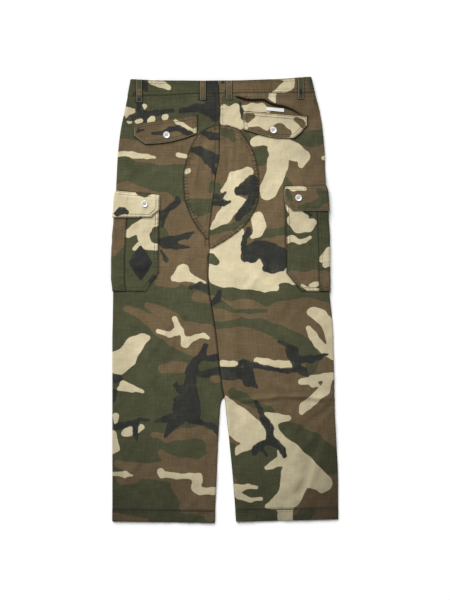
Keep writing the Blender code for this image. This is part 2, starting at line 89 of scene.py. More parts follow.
BUTTON_FLOOR = 0.74  # height of the hollow in a button's face, as a share of the button's

BACK_STEP = 3.0  # distance between the points of an upper panel, each way
FRONT_STEP = 8.0


def table(columns, rows):
    """A dictionary of arrays, one for each named column."""
    return dict(zip(columns.split(), np.array(rows, float).T))


SECTIONS = table(
    "y left_outer left_inner right_inner right_outer",
    [
        (537, -225, -16, -16, 205),
        (495, -234, -14, -14, 216),
        (455, -242, -13, -13, 227),
        (415, -250, -13, -13, 234),
        (345, -258, -14, -14, 240),
        (307, -260, -21, -21, 241),
        (230, -263, -30, -30, 245),
        (153, -268, -38, -38, 249),
        (CROTCH_Y, -270, -38, -38, 250),
        (CROSSED_Y, -271, -40, -40, 250),
        (60, -271, 0, -40, 250),
        (21, -269, 4, -37, 251),
        (-41, -270, 6, -27, 257),
        (-90, -271, 7, -20, 260),
        (-173, -271, 8, -11, 262),
        (-215, -271, 7, -5, 263),
        (-230, -271, 3, -2, 263),
        (-240, -271, -8, 0, 264),
        (-262, -271, -12, 2, 264),
        (-327, -271, -16, 9, 267),
        (-442, -271, -21, 20, 272),
        (-536, -271, -25, 27, 272),
    ],
)

WAIST = table(
    "x band_top band_seam",
    [
        (-235, 531, 489),
        (-150, 527.5, 490.5),
        (-60, 527, 495.5),
        (20, 527.5, 496),
        (100, 530, 497),
        (215, 537, 497),
    ],
)

HEM = table("x end", [(-271, -532), (-25, -536), (27, -533), (272, -527)])

SEAT_PATCH = table(
    "y left right",
    [
        (419, -24, 6),
        (410, -46, 33),
        (396, -64, 43),
        (370, -80, 61),
        (335, -92, 74),
        (290, -99, 81),
        (245, -96, 80),
        (205, -83, 66),
        (175, -66, 43),
        (146, -46, 6),
        (124, -44, -31),
    ],
)
SEAT_LOW = {-1: 147.0, 1: 124.0}

BACK_FLAP = {
    -1: table(
        "x top low",
        [
            (-218, 420, 395),
            (-205, 422, 384),
            (-191, 425, 374.5),
            (-160, 430, 376),
            (-130, 434, 380),
            (-100, 438, 388),
            (-68, 443, 399),
        ],
    ),
    1: table(
        "x top low",
        [
            (45, 452, 410),
            (62, 451, 404),
            (90, 449, 396),
            (122, 446, 389.5),
            (165, 442.5, 388.5),
            (181, 441, 401),
            (197, 439.5, 420),
        ],
    ),
}

# A pocket's reach is measured in from the outseam's turn at its top. It grows by the lean for each
# millimetre down, so that the edge hangs straight while the leg widens.
POCKET = {
    -1: {"top": 262.0, "slope": 10.0, "body_top": 246.0, "flap_low": 198.0, "low": 21.0,
         "reach": 99.5, "lean": 0.04, "pleat": 25.0},
    1: {"top": 275.0, "slope": 3.0, "body_top": 262.0, "flap_low": 214.0, "low": 21.0,
        "reach": 96.0, "lean": 0.01, "pleat": 20.0},
}

BACK_BUTTON = {-1: (-140.0, 396.0), 1: (116.5, 408.0)}
CARGO_BUTTON = {-1: (70.5, 230.0), 1: (68.0, 244.5)}
WAIST_BUTTON = (-32.0, 512.0)
BACK_LOOPS = {"left_side": -206.0, "left_centre": -53.0, "right_centre": 10.0, "right_side": 182.0}
FRONT_LOOPS = {"front_left": -125.0, "front_right": 100.0}
FLY = {"half_width": 20.0, "top": 486.0, "low": 305.0, "gap": 0.6}
TAG = {"x": (99.0, 142.0), "y": (453.5, 461.5), "slant": 0.09, "pivot": 120.0,
       "cloth": 0.7, "gap": 1.0}
LEATHER = {"centre": (-203.0, 90.0), "half_width": 27.0, "half_height": 40.0, "half_tip": 2.2,
           "thick": 1.4, "row": 2.6}

# Folds and creases: a ridge, or a trough where the rise is negative, from one end to the other.
FOLDS = table(
    "x0 y0 x1 y1 rise width",
    [
        # under the waistband and by the right back pocket
        (30, 478, 100, 466, -0.8, 7),
        (40, 470, 38, 438, -1.4, 4),
        # down the lower right leg
        (240, -345, 190, -470, 2.6, 9),
        (222, -350, 176, -455, -1.8, 8),
        (150, -290, 205, -352, -1.6, 12),
        (250, -262, 206, -335, 2.0, 8),
        (256, -300, 268, -345, 1.6, 8),
        (50, -237, 235, -233, 2.4, 6),
        (40, -248, 225, -244, -1.9, 5),
        (252, -254, 178, -312, -1.5, 7),
        (120, -205, 235, -225, 1.4, 10),
        (60, -60, 170, -95, 0.9, 16),
        (90, -410, 150, -455, 0.8, 14),
        # soft folds down the left leg
        (-215, -60, -190, -210, 1.1, 18),
        (-70, -150, -95, -330, 0.9, 14),
        (-235, -290, -150, -330, 0.9, 14),
        (-250, -395, -170, -455, 1.8, 9),
        (-262, -420, -200, -470, -1.2, 9),
        (-150, -400, -80, -430, 1.2, 12),
        (-120, -5, -60, -60, 0.8, 14),
        # under and beside the seat
        (-160, 170, -70, 95, 1.1, 14),
        (-150, 140, -60, 60, -0.8, 12),
        (60, 70, 140, 10, 1.2, 14),
        (20, 100, 110, 60, -0.8, 14),
        (-62, 330, -60, 175, -1.3, 7),
        (-80, 320, -78, 210, 0.8, 8),
        (-45, 360, -44, 200, 0.9, 6),
        (-62, 385, -70, 290, 1.3, 5),
        (-36, 392, -38, 300, 1.1, 5),
        (2, 398, 4, 300, -1.2, 5),
        (16, 396, 14, 280, 1.3, 5),
        (34, 385, 30, 300, 1.1, 5),
        (52, 365, 50, 290, -0.9, 5),
        (40, 330, 20, 170, 0.7, 10),
        (-240, 340, -110, 300, 0.9, 12),
        (100, 375, 180, 330, 1.2, 12),
        (110, 300, 170, 345, -0.9, 12),
        (-200, 470, -90, 462, 0.8, 9),
    ],
)


def smooth(t):
    """0 below 0, 1 above 1, and the curve 3tt - 2ttt between."""
    t = np.clip(t, 0.0, 1.0)
    return t * t * (3.0 - 2.0 * t)


def bell(away, width):
    """1 at 0, falling to 1/e a width away."""
    return np.exp(-((away / width) ** 2))


def along(column, source, key, at):
    """A column of a table read at any key, by cubics that never pass beyond two neighbours."""
    x = source[key]
    y = source[column]
    if x[0] > x[-1]:
        x = x[::-1]
        y = y[::-1]
    at = np.clip(at, x[0], x[-1])
    step = np.diff(x)
    slope = np.diff(y) / step
    product = slope[1:] * slope[:-1]
    total = slope[1:] + slope[:-1]
    inner = np.where(product > 0, 2.0 * product / np.where(total == 0, 1.0, total), 0.0)
    tangent = np.concatenate([slope[:1], inner, slope[-1:]])
    i = np.clip(np.searchsorted(x, at) - 1, 0, len(x) - 2)
    t = (at - x[i]) / step[i]
    rise = y[i + 1] - y[i]
    bend = t * (1 - t) * ((1 - t) * (tangent[i] * step[i] - rise) - t * (tangent[i + 1] * step[i] - rise))
    return y[i] + rise * t + bend


def noise(x, y, size, seed):
    """Smooth random heights, -1 to 1: corner values of a grid of a given size, blended across."""
    grid = np.random.RandomState(seed).uniform(-1, 1, (128, 128))
    u = np.asarray(x, float) / size + 57.3
    v = np.asarray(y, float) / size + 61.7
    i = np.floor(u).astype(int)
    j = np.floor(v).astype(int)
    s = smooth(u - i)
    t = smooth(v - j)
    low = grid[i % 128, j % 128] * (1 - s) + grid[(i + 1) % 128, j % 128] * s
    high = grid[i % 128, (j + 1) % 128] * (1 - s) + grid[(i + 1) % 128, (j + 1) % 128] * s
    return low * (1 - t) + high * t


def outer_edge(side, y):
    """x of a leg's outer edge at a height."""
    return along("left_outer" if side < 0 else "right_outer", SECTIONS, "y", y)


def inner_edge(side, y):
    """x of a leg's inner edge or, above the crotch, of the centre seam."""
    return along("left_inner" if side < 0 else "right_inner", SECTIONS, "y", y)


def band_seam(x):
    """Height of the waistband's lower edge."""
    return along("band_seam", WAIST, "x", x)


def band_top(x):
    """Height of the waistband's upper edge."""
    return along("band_top", WAIST, "x", x)


def below_crotch(y):
    """0 down to the crotch, then rising to 1 where the legs are wholly crossed."""
    return smooth((CROTCH_Y - y) / (CROTCH_Y - CROSSED_Y))


def pocket_reach(side, y):
    """How far in from the outseam's turn a cargo pocket reaches at a height."""
    pocket = POCKET[side]
    return pocket["reach"] + pocket["lean"] * np.clip(pocket["top"] - y, 0, pocket["top"] - pocket["low"])


def under_pocket(side, x, y):
    """How far the hidden half of a cargo pocket, its flap and its button lift the cloth above."""
    pocket = POCKET[side]
    inward = side * (outer_edge(side, y) - x)
    across = 1 - smooth((inward - pocket_reach(side, y) - 5) / UNDER_FLANK)
    above = 1 - smooth((y - pocket["top"] - 3) / UNDER_FLANK)
    over_low = 1 - smooth((pocket["low"] - y) / UNDER_FLANK)
    over_flap = 1 - smooth((pocket["flap_low"] - y) / UNDER_FLANK)
    reach, height = CARGO_BUTTON[side]
    over_button = 1 - smooth((np.hypot(inward - reach, y - height) - 12) / 65)
    lift = POCKET_UNDER * over_low + FLAP_UNDER * over_flap + BUTTON_UNDER * over_button
    return across * above * lift


def crossing(side, x, y):
    """How far the right leg is lifted by the edge of the left leg under it."""
    if side < 0:
        return 0.0 * x
    past = x - inner_edge(-1, y) - CROSS_MARGIN
    return CROSS_LIFT * below_crotch(y) * (1 - smooth(past / CROSS_SLOPE))


def lower_face(side, x, y):
    """Height of the front panel's outer face: 0 where it rests, higher over what lies under it."""
    waist = WAIST_RISE * smooth((y - 430) / 50)
    return waist + under_pocket(side, x, y) + crossing(side, x, y)


def folds(x, y):
    """The sum of the table's ridges: a bell curve across each line, fading past its ends. Each
    line is bent a little by noise, so that no fold runs dead straight."""
    total = 0.0 * x
    bent_x = x + 5 * noise(x, y, 45, 3)
    bent_y = y + 5 * noise(x, y, 50, 4)
    for x0, y0, x1, y1, rise, width in zip(*FOLDS.values()):
        length = math.hypot(x1 - x0, y1 - y0)
        ahead = ((bent_x - x0) * (x1 - x0) + (bent_y - y0) * (y1 - y0)) / length
        aside = ((bent_x - x0) * (y1 - y0) - (bent_y - y0) * (x1 - x0)) / length
        beyond = np.maximum(np.maximum(-ahead, ahead - length), 0.0)
        total = total + rise * np.exp(-(aside**2) / width**2 - beyond**2 / (2.2 * width) ** 2)
    return total


def creases(x, y):
    """Soft unevenness of washed cloth: swells, slanting drags and small crumples."""
    slant = 1.8 * noise(x + 0.6 * y, 0.45 * y - 0.2 * x, 28, 11)
    counter = 1.4 * noise(x - 0.7 * y, 0.4 * y + 0.3 * x, 22, 12)
    crumple = 0.75 * noise(x, y, 13, 13) + 0.3 * noise(x, y, 7, 14)
    where = 0.65 + 0.4 * noise(x, y, 90, 15)
    return (slant + counter + crumple) * where


def pressed_share(side, x, y):
    """How flat a leg is pressed by the other: all along the crossing, fading inside the leg."""
    begun = below_crotch(y) * smooth((y + 300) / 50)
    if side < 0:
        return begun * smooth((x - inner_edge(1, y) + PRESSED_WIDTH) / (PRESSED_WIDTH - 8))
    return 0.5 * begun * (1 - smooth((x - inner_edge(1, y)) / PRESSED_WIDTH))


def felled_seam(side, x, y):
    """The centre seam above the crotch: a groove, and on its left a flat ridge of folded cloth."""
    away = side * (x - inner_edge(side, y))
    above = smooth((y - CROTCH_Y) / 10)
    ridge = 0.6 * smooth((away - 0.4) / 1.4) * (1 - smooth((away - 9.6) / 1.6)) * (side < 0)
    return above * (ridge - 0.6 * bell(away, 1.1))


def thickness(side, x, y):
    """Lower face to upper face: the loft, swells, folds and creases, less where pressed."""
    swell = 0.5 * np.sin(x / 62 + 0.6) * np.sin(y / 95 + 0.4)
    pressed = pressed_share(side, x, y)
    calm = 1 - 0.6 * smooth((y - 455) / 30)
    free = LOFT + swell + folds(x, y) + calm * creases(x, y) + felled_seam(side, x, y)
    least = 3.0
    free = 0.5 * (free + least + np.sqrt((free - least) ** 2 + 1.5))
    return free * (1 - pressed) + PRESSED_LOFT * pressed


def upper_face(side, x, y):
    """Height of the back panel's outer face."""
    return lower_face(side, x, y) + thickness(side, x, y)


def on_back(side, x, y, out):
    """Points on a leg's back, moved out."""
    return np.stack([x, y, upper_face(side, x, y) + out], -1)


def true_height(nominal, x):
    """A nominal row's y, moved to follow the waistband seam at the top and the hem at the end."""
    to_seam = smooth((nominal - BAND_NOMINAL + WARP_LENGTH) / WARP_LENGTH)
    to_hem = smooth((HEM_NOMINAL + WARP_LENGTH - nominal) / WARP_LENGTH)
    seam = band_seam(x) - BAND_NOMINAL
    end = np.interp(x, HEM["x"], HEM["end"]) - HEM_NOMINAL
    return nominal + to_seam * seam + to_hem * end


def side_name(side):
    """The word for -1 or 1."""
    return "left" if side < 0 else "right"


# The print. Each piece of cloth was cut from another place of it, so has its own.


def inks(ground, drawn=""):
    """A piece's print: its ground colour, and the brush strokes drawn on it in each colour.

    A line is one stroke, a row of discs run together, each "x y radius". The first stroke in a
    colour has its name before it, and those after it are in the same colour.
    """
    made = {"ground": ground}
    for line in drawn.strip().splitlines():
        colour, colon, discs = line.rpartition(": ")
        if colon:
            strokes = made[colour] = []
        strokes.append([tuple(map(float, disc.split())) for disc in discs.split(",")])
    return made


PRINT = {
    "panel_left": inks("green", """
brown: -245 368 20, -200 358 26, -140 354 30, -100 352 26, -82 395 20
-262 272 8, -232 272 10, -200 262 9, -165 255 6
-146 238 22, -118 205 38, -88 158 44, -78 105 46, -72 68 42
-140 120 24, -138 70 26, -120 45 14, -160 40 8
-62 152 24, -60 112 24
-66 8 13, -42 4 12
-236 -22 8, -208 -34 9, -180 -50 14, -152 -72 20, -118 -80 32, -45 -92 34
-188 -14 8, -150 -32 13, -122 -48 18
-105 -105 18, -72 -122 14, -25 -115 16
-152 -165 10, -124 -160 13, -104 -160 13
-30 -189 7, -18 -190 8
-172 -324 7, -140 -330 10, -100 -321 13, -60 -318 13, -34 -330 14, -28 -372 16
-152 -366 8, -134 -388 15, -60 -402 15, -30 -385 20
-256 -394 10, -200 -410 18, -140 -412 24, -80 -424 24, -38 -430 28, -40 -470 28
-112 -448 18, -78 -470 30, -46 -484 34, -96 -500 14
-36 -522 12
-250 -428 14, -215 -430 13
-264 -520 9, -230 -525 6, -185 -530 4
tan: -236 452 11, -216 452 7
-231 436 7, -229 428 5
-194 464 7, -198 455 4
-203 434 7, -213 428 5
-174 435 7, -182 431 5
-144 438 8
-254 350 6, -222 350 7, -186 344 5, -170 341 2.5
-114 347 6, -96 346 5
-103 73 15, -110 57 14, -124 52 7
-94 58 14, -70 47 6, -47 42 3
-159 -77 6, -134 -84 6, -116 -76 8, -106 -72 5
-120 -45 7, -114 -60 6, -106 -75 6
-104 -80 4, -97 -104 9, -90 -98 8, -70 -90 6, -52 -86 6, -41 -93 4
-262 -150 28, -237 -136 23, -216 -108 20, -199 -96 14, -186 -93 7
-250 -164 14, -226 -150 9
-244 -205 10, -224 -213 8, -199 -221 4
-254 -214 5, -225 -219 5
-263 -280 8, -262 -292 5
-236 -317 9, -228 -309 6, -243 -322 5, -226 -321 5
-203 -306 8, -208 -317 3
-270 -320 8, -268 -345 9, -263 -356 8, -270 -366 5
-156 -413 8, -151 -420 8, -120 -423 6, -86 -424 7, -66 -428 10, -62 -436 8
-70 -436 10, -70 -450 10, -58 -459 8, -30 -460 8, -16 -460 8
-270 -419 5, -240 -419 6, -221 -422 2.5
black: -207 474 8, -204 455 8, -190 444 7, -160 448 6, -127 455 5
-236 434 4, -226 438 7, -205 446 8
-190 438 4, -188 430 3
-108 456 5, -72 461 8, -44 455 12
-26 492 14, -34 468 16, -22 440 11
-64 480 4, -44 486 7
-150 178 4, -147 206 8, -128 224 6, -114 238 6, -117 250 3
-158 140 8, -122 146 9, -92 156 7, -74 165 3
-150 130 7, -120 130 6, -86 126 3
-154 114 5, -141 97 6
-85 30 5, -60 34 8, -44 28 7, -38 20 5
-264 -191 11, -250 -187 7
-266 -222 9, -268 -240 5
-46 -110 6, -53 -130 8, -70 -148 10, -82 -168 13, -83 -205 15, -86 -240 21, -82 -268 24
-74 -172 8, -50 -178 8, -16 -170 9
-52 -142 5, -30 -140 7, -12 -136 7
-86 -210 12, -108 -213 7, -120 -203 4, -113 -195 2
-100 -242 13, -114 -256 8, -120 -270 5
-80 -284 12, -56 -296 6, -34 -303 7, -12 -316 10
-104 -290 9, -128 -303 9, -141 -325 5
-94 -272 15, -124 -281 9, -146 -287 7, -166 -290 4
-110 -232 6, -120 -242 3
-207 -288 4, -184 -288 4
-212 -298 6, -214 -325 5, -211 -338 2
-258 -304 9, -236 -300 6, -212 -297 5
    """),
    "panel_right": inks("brown", """
green: 0 482 10, 30 474 9
228 500 10, 226 478 12, 240 458 9
176 386 14, 212 388 20, 238 396 16, 226 372 5
48 400 8, 62 380 7
82 345 22, 92 352 18
-34 100 15, -24 92 10
76 150 9, 108 160 10, 142 166 10
140 292 9, 154 272 10
128 24 14, 168 28 15
-33 28 12, 10 12 14, 52 19 15, 100 4 16, 150 16 14, 200 20 14, 250 8 15
-20 -8 13, 20 -26 4, 60 -28 5, 96 -25 5
-20 -60 9, 10 -58 8, 40 -52 9, 80 -58 13, 128 -76 17, 168 -98 21, 200 -122 24
212 -142 17, 206 -165 14
18 -222 12, 45 -236 11, 70 -250 8, 104 -262 8, 112 -268 6
16 -352 10, 28 -376 20, 50 -402 34, 92 -424 36, 128 -430 24
62 -376 24, 112 -366 22, 100 -460 24, 50 -450 26
136 -306 14, 172 -318 19, 212 -346 25, 246 -380 30, 262 -396 22
170 -352 22, 205 -392 24, 238 -412 12
26 -500 26, 66 -508 28, 108 -520 24, 98 -484 20, 60 -480 22
178 -536 22, 192 -518 18, 206 -510 12
tan: -3 461 8, 4 448 13, -2 430 10, 14 436 17, 28 424 14, 36 418 8
14 452 15, 25 464 9, 30 450 11
44 461 7, 66 464 8, 88 461 9, 106 453 5
114 496 9, 112 486 7, 119 476 3
72 379 11, 98 388 15, 132 377 19, 166 356 21, 192 345 13, 182 326 8
122 356 20, 126 326 26, 122 300 23, 106 268 21, 99 252 13
237 340 5
77 196 17, 82 178 16, 79 163 12, 66 152 5
42 164 6, 36 146 12, 18 124 22, 2 98 32, -16 62 26
34 168 8, 14 146 12, -10 130 14, -30 118 10
4 68 38, 42 62 34, 92 52 30, 132 62 22, 164 46 7, 178 41 3
44 98 16, 82 86 16
100 36 18, 122 28 8
212 -29 14, 230 -38 14, 248 -58 14, 258 -88 15, 258 -120 12, 262 -136 8
200 -70 7, 211 -86 11, 224 -104 11, 242 -122 10, 256 -134 9
262 -183 9, 240 -184 8, 212 -191 10, 184 -196 7
214 -204 7, 222 -206 4
249 -196 10, 241 -215 12, 215 -238 12, 191 -256 12, 184 -269 8
-8 -152 8, 20 -153 8, 41 -157 5
77 -146 8, 104 -151 9, 132 -153 9, 159 -153 9
3 -234 4, 12 -252 13, 32 -284 27, 46 -308 34, 74 -320 26, 60 -338 20
50 -352 11, 32 -360 9, 27 -371 4
5 -270 12, 14 -310 14
101 -276 6, 122 -286 11, 150 -284 8
117 -302 10, 128 -324 8, 158 -364 20, 184 -408 34, 234 -440 22, 231 -460 6
170 -424 38, 156 -470 28, 122 -489 14, 101 -494 6
146 -490 20, 144 -520 17, 148 -534 17
137 -386 13, 112 -398 8, 98 -403 5
130 -372 3, 127 -362 3
28 -452 10, 55 -446 5, 76 -450 4
34 -470 10, 60 -482 5, 86 -478 4
hole: 80 340 16, 92 350 13
-36 100 14, -24 92 9
black: 38 474 3, 40 452 3, 38 434 1
57 172 5, 58 160 5, 50 148 5, 46 132 7
48 118 11, 50 104 11, 64 104 12, 76 122 20, 106 118 20, 134 108 18
88 106 9, 100 96 12, 112 80 15, 98 76 8, 132 80 10, 142 92 12
-12 20 5, -18 2 8, -32 -8 6
128 -99 4, 150 -107 5, 165 -120 8, 169 -142 10, 173 -162 9, 190 -173 9, 200 -182 3
149 -122 4, 156 -136 6, 168 -142 8, 202 -143 8, 226 -138 6, 244 -129 2.5
-10 -176 15, 20 -176 16, 46 -171 18, 60 -196 13, 78 -212 3
40 -150 9, 70 -157 7, 110 -163 5, 150 -172 6, 182 -168 7
73 -244 5, 85 -265 7, 92 -290 9, 106 -306 10, 108 -332 8, 120 -342 8
112 -338 8, 126 -346 7, 137 -358 7, 143 -374 5
110 -340 7, 90 -348 8, 75 -358 10, 69 -368 6
88 -360 5, 102 -374 3
    """),
    "seat_left": inks("brown", """
green: -84 232 14, -60 222 19, -32 228 16
-60 402 6
-30 280 6, -34 262 4
tan: -93 308 6, -87 310 5
-58 408 3, -30 402 2
black: -52 404 7, -36 396 9, -14 392 10
-80 362 6, -62 357 11, -40 346 13, -16 336 11
-50 338 6, -34 324 7, -24 306 6, -20 292 4
    """),
    "seat_right": inks("brown", """
green: -18 274 8, -24 235 8
-4 402 10, 14 398 9, 20 386 6
74 240 7, 60 206 9, 42 192 9, 18 176 9, -14 170 9, -34 160 5
tan: 18 300 9, 38 298 12, 56 308 10, 30 285 12, 8 274 8, -6 264 6
14 290 9, 10 262 11, 15 226 20, -4 202 17, -24 184 9, -33 172 4
44 232 10, 26 240 12
34 166 2
black: 30 260 9, 48 268 17, 64 286 14, 70 256 14
62 240 10, 46 216 9, 30 198 8
-24 250 7, -12 247 5, 1 258 4
-26 232 6, -2 233 5, 13 236 4
    """),
    "back_flap_left": inks("brown", """
tan: -119 432 4, -104 421 6, -86 407 5, -72 405 4
-71 412 2.5
black: -172 402 4, -142 402 5, -130 411 5, -110 414 6, -98 405 6, -80 398 5
-207 407 6, -196 411 3
    """),
    "back_flap_right": inks("brown", """
tan: 20 430 60, 220 430 60
hole: 54 438 12, 68 443 7
60 409 7, 80 407 9, 96 402 8
112 404 10, 134 412 12, 150 400 10, 124 394 10
170 433 6, 185 424 8, 191 412 4
    """),
    "cargo_flap_left": inks("green", """
tan: -280 232 40, -150 230 40
hole: -205 258 8, -190 255 6, -174 259 4
black: -258 208 8, -248 214 8, -236 209 6
-203 198 2.5
    """),
    "cargo_pocket_left": inks("green", """
brown: -258 190 18, -256 140 14, -266 118 9
-170 30 10, -190 22 5
tan: -232 158 9, -214 170 11, -190 184 13, -168 190 12, -160 205 10
-192 172 17, -196 152 12, -188 132 11, -168 126 9
-206 134 5, -216 122 5
hole: -174 156 8, -170 146 9, -162 142 8
black: -168 55 5, -180 45 4
    """),
    "cargo_middle_left": inks("green", """
brown: -258 190 20, -256 140 16, -268 112 9
    """),
    "cargo_middle_right": inks("green", """
brown: 252 40 22, 236 60 12
tan: 232 100 8, 250 116 9, 254 92 9, 240 84 6
    """),
    "cargo_flap_right": inks("brown", """
green: 226 262 9, 240 246 13, 218 228 9, 180 222 7
150 258 7, 160 240 4
tan: 146 269 3.5, 165 268 6, 190 268 5
black: 146 265 2, 152 265 2
    """),
    "cargo_pocket_right": inks("green", """
brown: 160 60 12, 190 52 15, 216 58 15, 245 50 16
tan: 149 232 7, 164 216 12, 186 202 14, 162 190 12, 176 174 11, 200 180 14, 213 188 9
149 142 8, 161 148 8, 178 138 5, 192 141 5, 203 150 5
206 36 4, 216 38 5, 227 40 4
186 36 4, 202 25 4, 252 24 3
236 98 9, 250 114 9, 252 92 9, 235 80 5
black: 186 212 2, 206 205 5
    """),
    "band_left": inks("green", """
tan: -177 524 7, -155 518 8, -135 510 5
black: -196 516 10, -192 506 5
-34 520 13, -30 500 14, -20 512 10
-214 494 6
    """),
    "band_right": inks("brown", """
green: 214 500 10, 210 524 10
4 500 6
tan: 102 532 3, 138 532 4, 158 534 6
160 531 8, 154 518 12, 140 507 11, 120 496 9
black: 178 512 5, 180 498 5
-4 522 4
    """),
    "loop_left_side": inks("green", """
brown: -206 500 9
black: -206 476 7
    """),
    "loop_left_centre": inks("brown"),
    "loop_right_centre": inks("brown", """
green: 10 486 8
    """),
    "loop_right_side": inks("green", """
black: 182 500 6
182 480 6
    """),
}


def scattered(seed, low, high):
    """A print for a hidden piece: strokes that wander from random starts inside a rectangle."""
    random = np.random.RandomState(seed)
    area = (high[0] - low[0]) * (high[1] - low[1])
    made = {"ground": "green"}
    for colour, spacing, radius in (("brown", 95, 22), ("tan", 130, 15), ("black", 120, 9)):
        strokes = []
        for _ in range(max(2, int(area / spacing**2))):
            x = random.uniform(low[0], high[0])
            y = random.uniform(low[1], high[1])
            heading = random.uniform(-0.6, 0.6) + (math.pi if random.uniform() < 0.5 else 0)
            stroke = []
            for _ in range(4):
                stroke.append((x, y, radius * random.uniform(0.5, 1.3)))
                heading += random.uniform(-0.8, 0.8)
                x += radius * 1.7 * math.cos(heading)
                y += radius * 1.7 * math.sin(heading)
            strokes.append(stroke)
        made[colour] = strokes
    return made


def strokes_distance(strokes, x, y):
    """Distance from each point to the nearest stroke, negative inside: to the line between two
    discs, less the radius there."""
    nearest = np.full(np.shape(x), 200.0)
    for stroke in strokes:
        ends = stroke if len(stroke) > 1 else stroke * 2
        for (x0, y0, r0), (x1, y1, r1) in zip(ends[:-1], ends[1:]):
            span = max((x1 - x0) ** 2 + (y1 - y0) ** 2, 1e-6)
            t = np.clip(((x - x0) * (x1 - x0) + (y - y0) * (y1 - y0)) / span, 0, 1)
            away = np.hypot(x - x0 - t * (x1 - x0), y - y0 - t * (y1 - y0)) - r0 - t * (r1 - r0)
            low = np.minimum(nearest, away)
            blend = np.clip(1 - np.abs(nearest - away) / 9.0, 0, 1)
            nearest = low - 9.0 * blend**3 / 6
    return nearest


def print_fields(design, x, y):
    """Signed distances to the brown, tan and black of a design. Their edges waver a little."""
    wave_x = x + 2.4 * noise(x, y, 26, 21) + 0.7 * noise(x, y, 11, 22)
    wave_y = y + 2.4 * noise(x, y, 26, 23) + 0.7 * noise(x, y, 11, 24)
    brown = strokes_distance(design.get("brown", []), wave_x, wave_y)
    if design["ground"] == "brown":
        brown = -strokes_distance(design.get("green", []), wave_x, wave_y)
    elif "green" in design:
        brown = np.maximum(brown, -strokes_distance(design["green"], wave_x, wave_y))
    tan = strokes_distance(design.get("tan", []), wave_x, wave_y)
    tan = np.maximum(tan, -strokes_distance(design.get("hole", []), wave_x, wave_y))
    ragged_x = wave_x + 1.7 * noise(x, y, 8, 25)
    ragged_y = wave_y + 1.7 * noise(x, y, 8, 26)
    black = strokes_distance(design.get("black", []), ragged_x, ragged_y)
    return {"brown": brown, "tan": tan, "black": black}


# Meshes


def mesh_from(name, points, faces, smooth_angle=55):
    """A mesh from arrays of points in millimetres and of triangles or quads."""
    mesh = bpy.data.meshes.new(name)
    width = faces.shape[1]
    mesh.vertices.add(len(points))
    mesh.vertices.foreach_set("co", (points * MM).astype(np.float32).ravel())
    mesh.loops.add(faces.size)
    mesh.loops.foreach_set("vertex_index", faces.astype(np.int32).ravel())
    mesh.polygons.add(len(faces))
    mesh.polygons.foreach_set("loop_start", np.arange(0, faces.size, width, dtype=np.int32))
    mesh.update(calc_edges=True)
    mesh.validate()
    mesh.shade_smooth()
    if smooth_angle:
        mesh.set_sharp_from_angle(angle=math.radians(smooth_angle))
    piece = bpy.data.objects.new(name, mesh)
    bpy.context.scene.collection.objects.link(piece)
    return piece


def grid_faces(rows, columns):
    """Quads between the neighbouring points of a grid."""
    index = np.arange(rows * columns).reshape(rows, columns)
    return np.stack([index[:-1, :-1], index[1:, :-1], index[1:, 1:], index[:-1, 1:]], -1).reshape(-1, 4)


def wall(name, outer, inner, fields):
    """A closed wall between two grids of points, with the same named values on both skins. Its
    faces are turned so that the outer skin looks away from the inner one."""
    rows, columns = outer.shape[:2]
    count = rows * columns
    skin = grid_faces(rows, columns)
    index = np.arange(count).reshape(rows, columns)
    rim = np.concatenate([index[0, :-1], index[:-1, -1], index[-1, :0:-1], index[:0:-1, 0]])
    after = np.roll(rim, -1)
    sides = np.stack([rim, after, after + count, rim + count], -1)
    faces = np.concatenate([skin, skin[:, ::-1] + count, sides])
    flat = outer.reshape(-1, 3)
    a, b, c = flat[skin[:, 0]], flat[skin[:, 1]], flat[skin[:, 3]]
    away = (outer - inner).reshape(-1, 3)[skin[:, 0]]
    if (np.cross(b - a, c - a) * away).sum() < 0:
        faces = faces[:, ::-1]
    piece = mesh_from(name, np.concatenate([flat, inner.reshape(-1, 3)]), faces)
    for field, values in fields.items():
        values = np.broadcast_to(values, outer.shape[:2]).ravel()
        attribute = piece.data.attributes.new(field, "FLOAT", "POINT")
        attribute.data.foreach_set("value", np.concatenate([values, values]).astype(np.float32))
    return piece


def finish_piece(piece, material, node):
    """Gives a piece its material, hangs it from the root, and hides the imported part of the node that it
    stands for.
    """
    piece.data.materials.append(material)
    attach(piece, "root")
    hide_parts(node)


def area_of(grid):
    """Area in square metres of a grid of points in millimetres."""
    across = grid[:-1, 1:] - grid[:-1, :-1]
    down = grid[1:, :-1] - grid[:-1, :-1]
    return float(np.linalg.norm(np.cross(across, down), axis=-1).sum()) * MM * MM


def cut_size(u, v):
    """The (width, length) and the area of a cut laid out flat, in metres, from where its points
    lie across and along the unbent cloth. Nothing of how it is lifted or creased goes in."""
    width = round(float(np.ptp(u)) * MM, 4)
    length = round(float(np.ptp(v)) * MM, 4)
    return (width, length), min(area_of(np.stack([u, v, 0 * u], -1)), width * length)


def line_distance(line, x, y):
    """Distance from each point to a line of corners, and how far along the line its foot is."""
    line = np.asarray(line, float)
    start = line[:-1]
    step = np.diff(line, axis=0)
    length = np.hypot(step[:, 0], step[:, 1])
    before = np.concatenate([[0.0], np.cumsum(length)[:-1]])
    shape = np.broadcast(x, y).shape
    away_x = np.broadcast_to(x, shape).reshape(-1, 1) - start[:, 0]
    away_y = np.broadcast_to(y, shape).reshape(-1, 1) - start[:, 1]
    share = np.clip((away_x * step[:, 0] + away_y * step[:, 1]) / length**2, 0, 1)
    away = np.hypot(away_x - share * step[:, 0], away_y - share * step[:, 1])
    nearest = away.argmin(axis=1)
    pick = np.arange(len(nearest))
    run = (before + share * length)[pick, nearest]
    return away[pick, nearest].reshape(shape), run.reshape(shape)


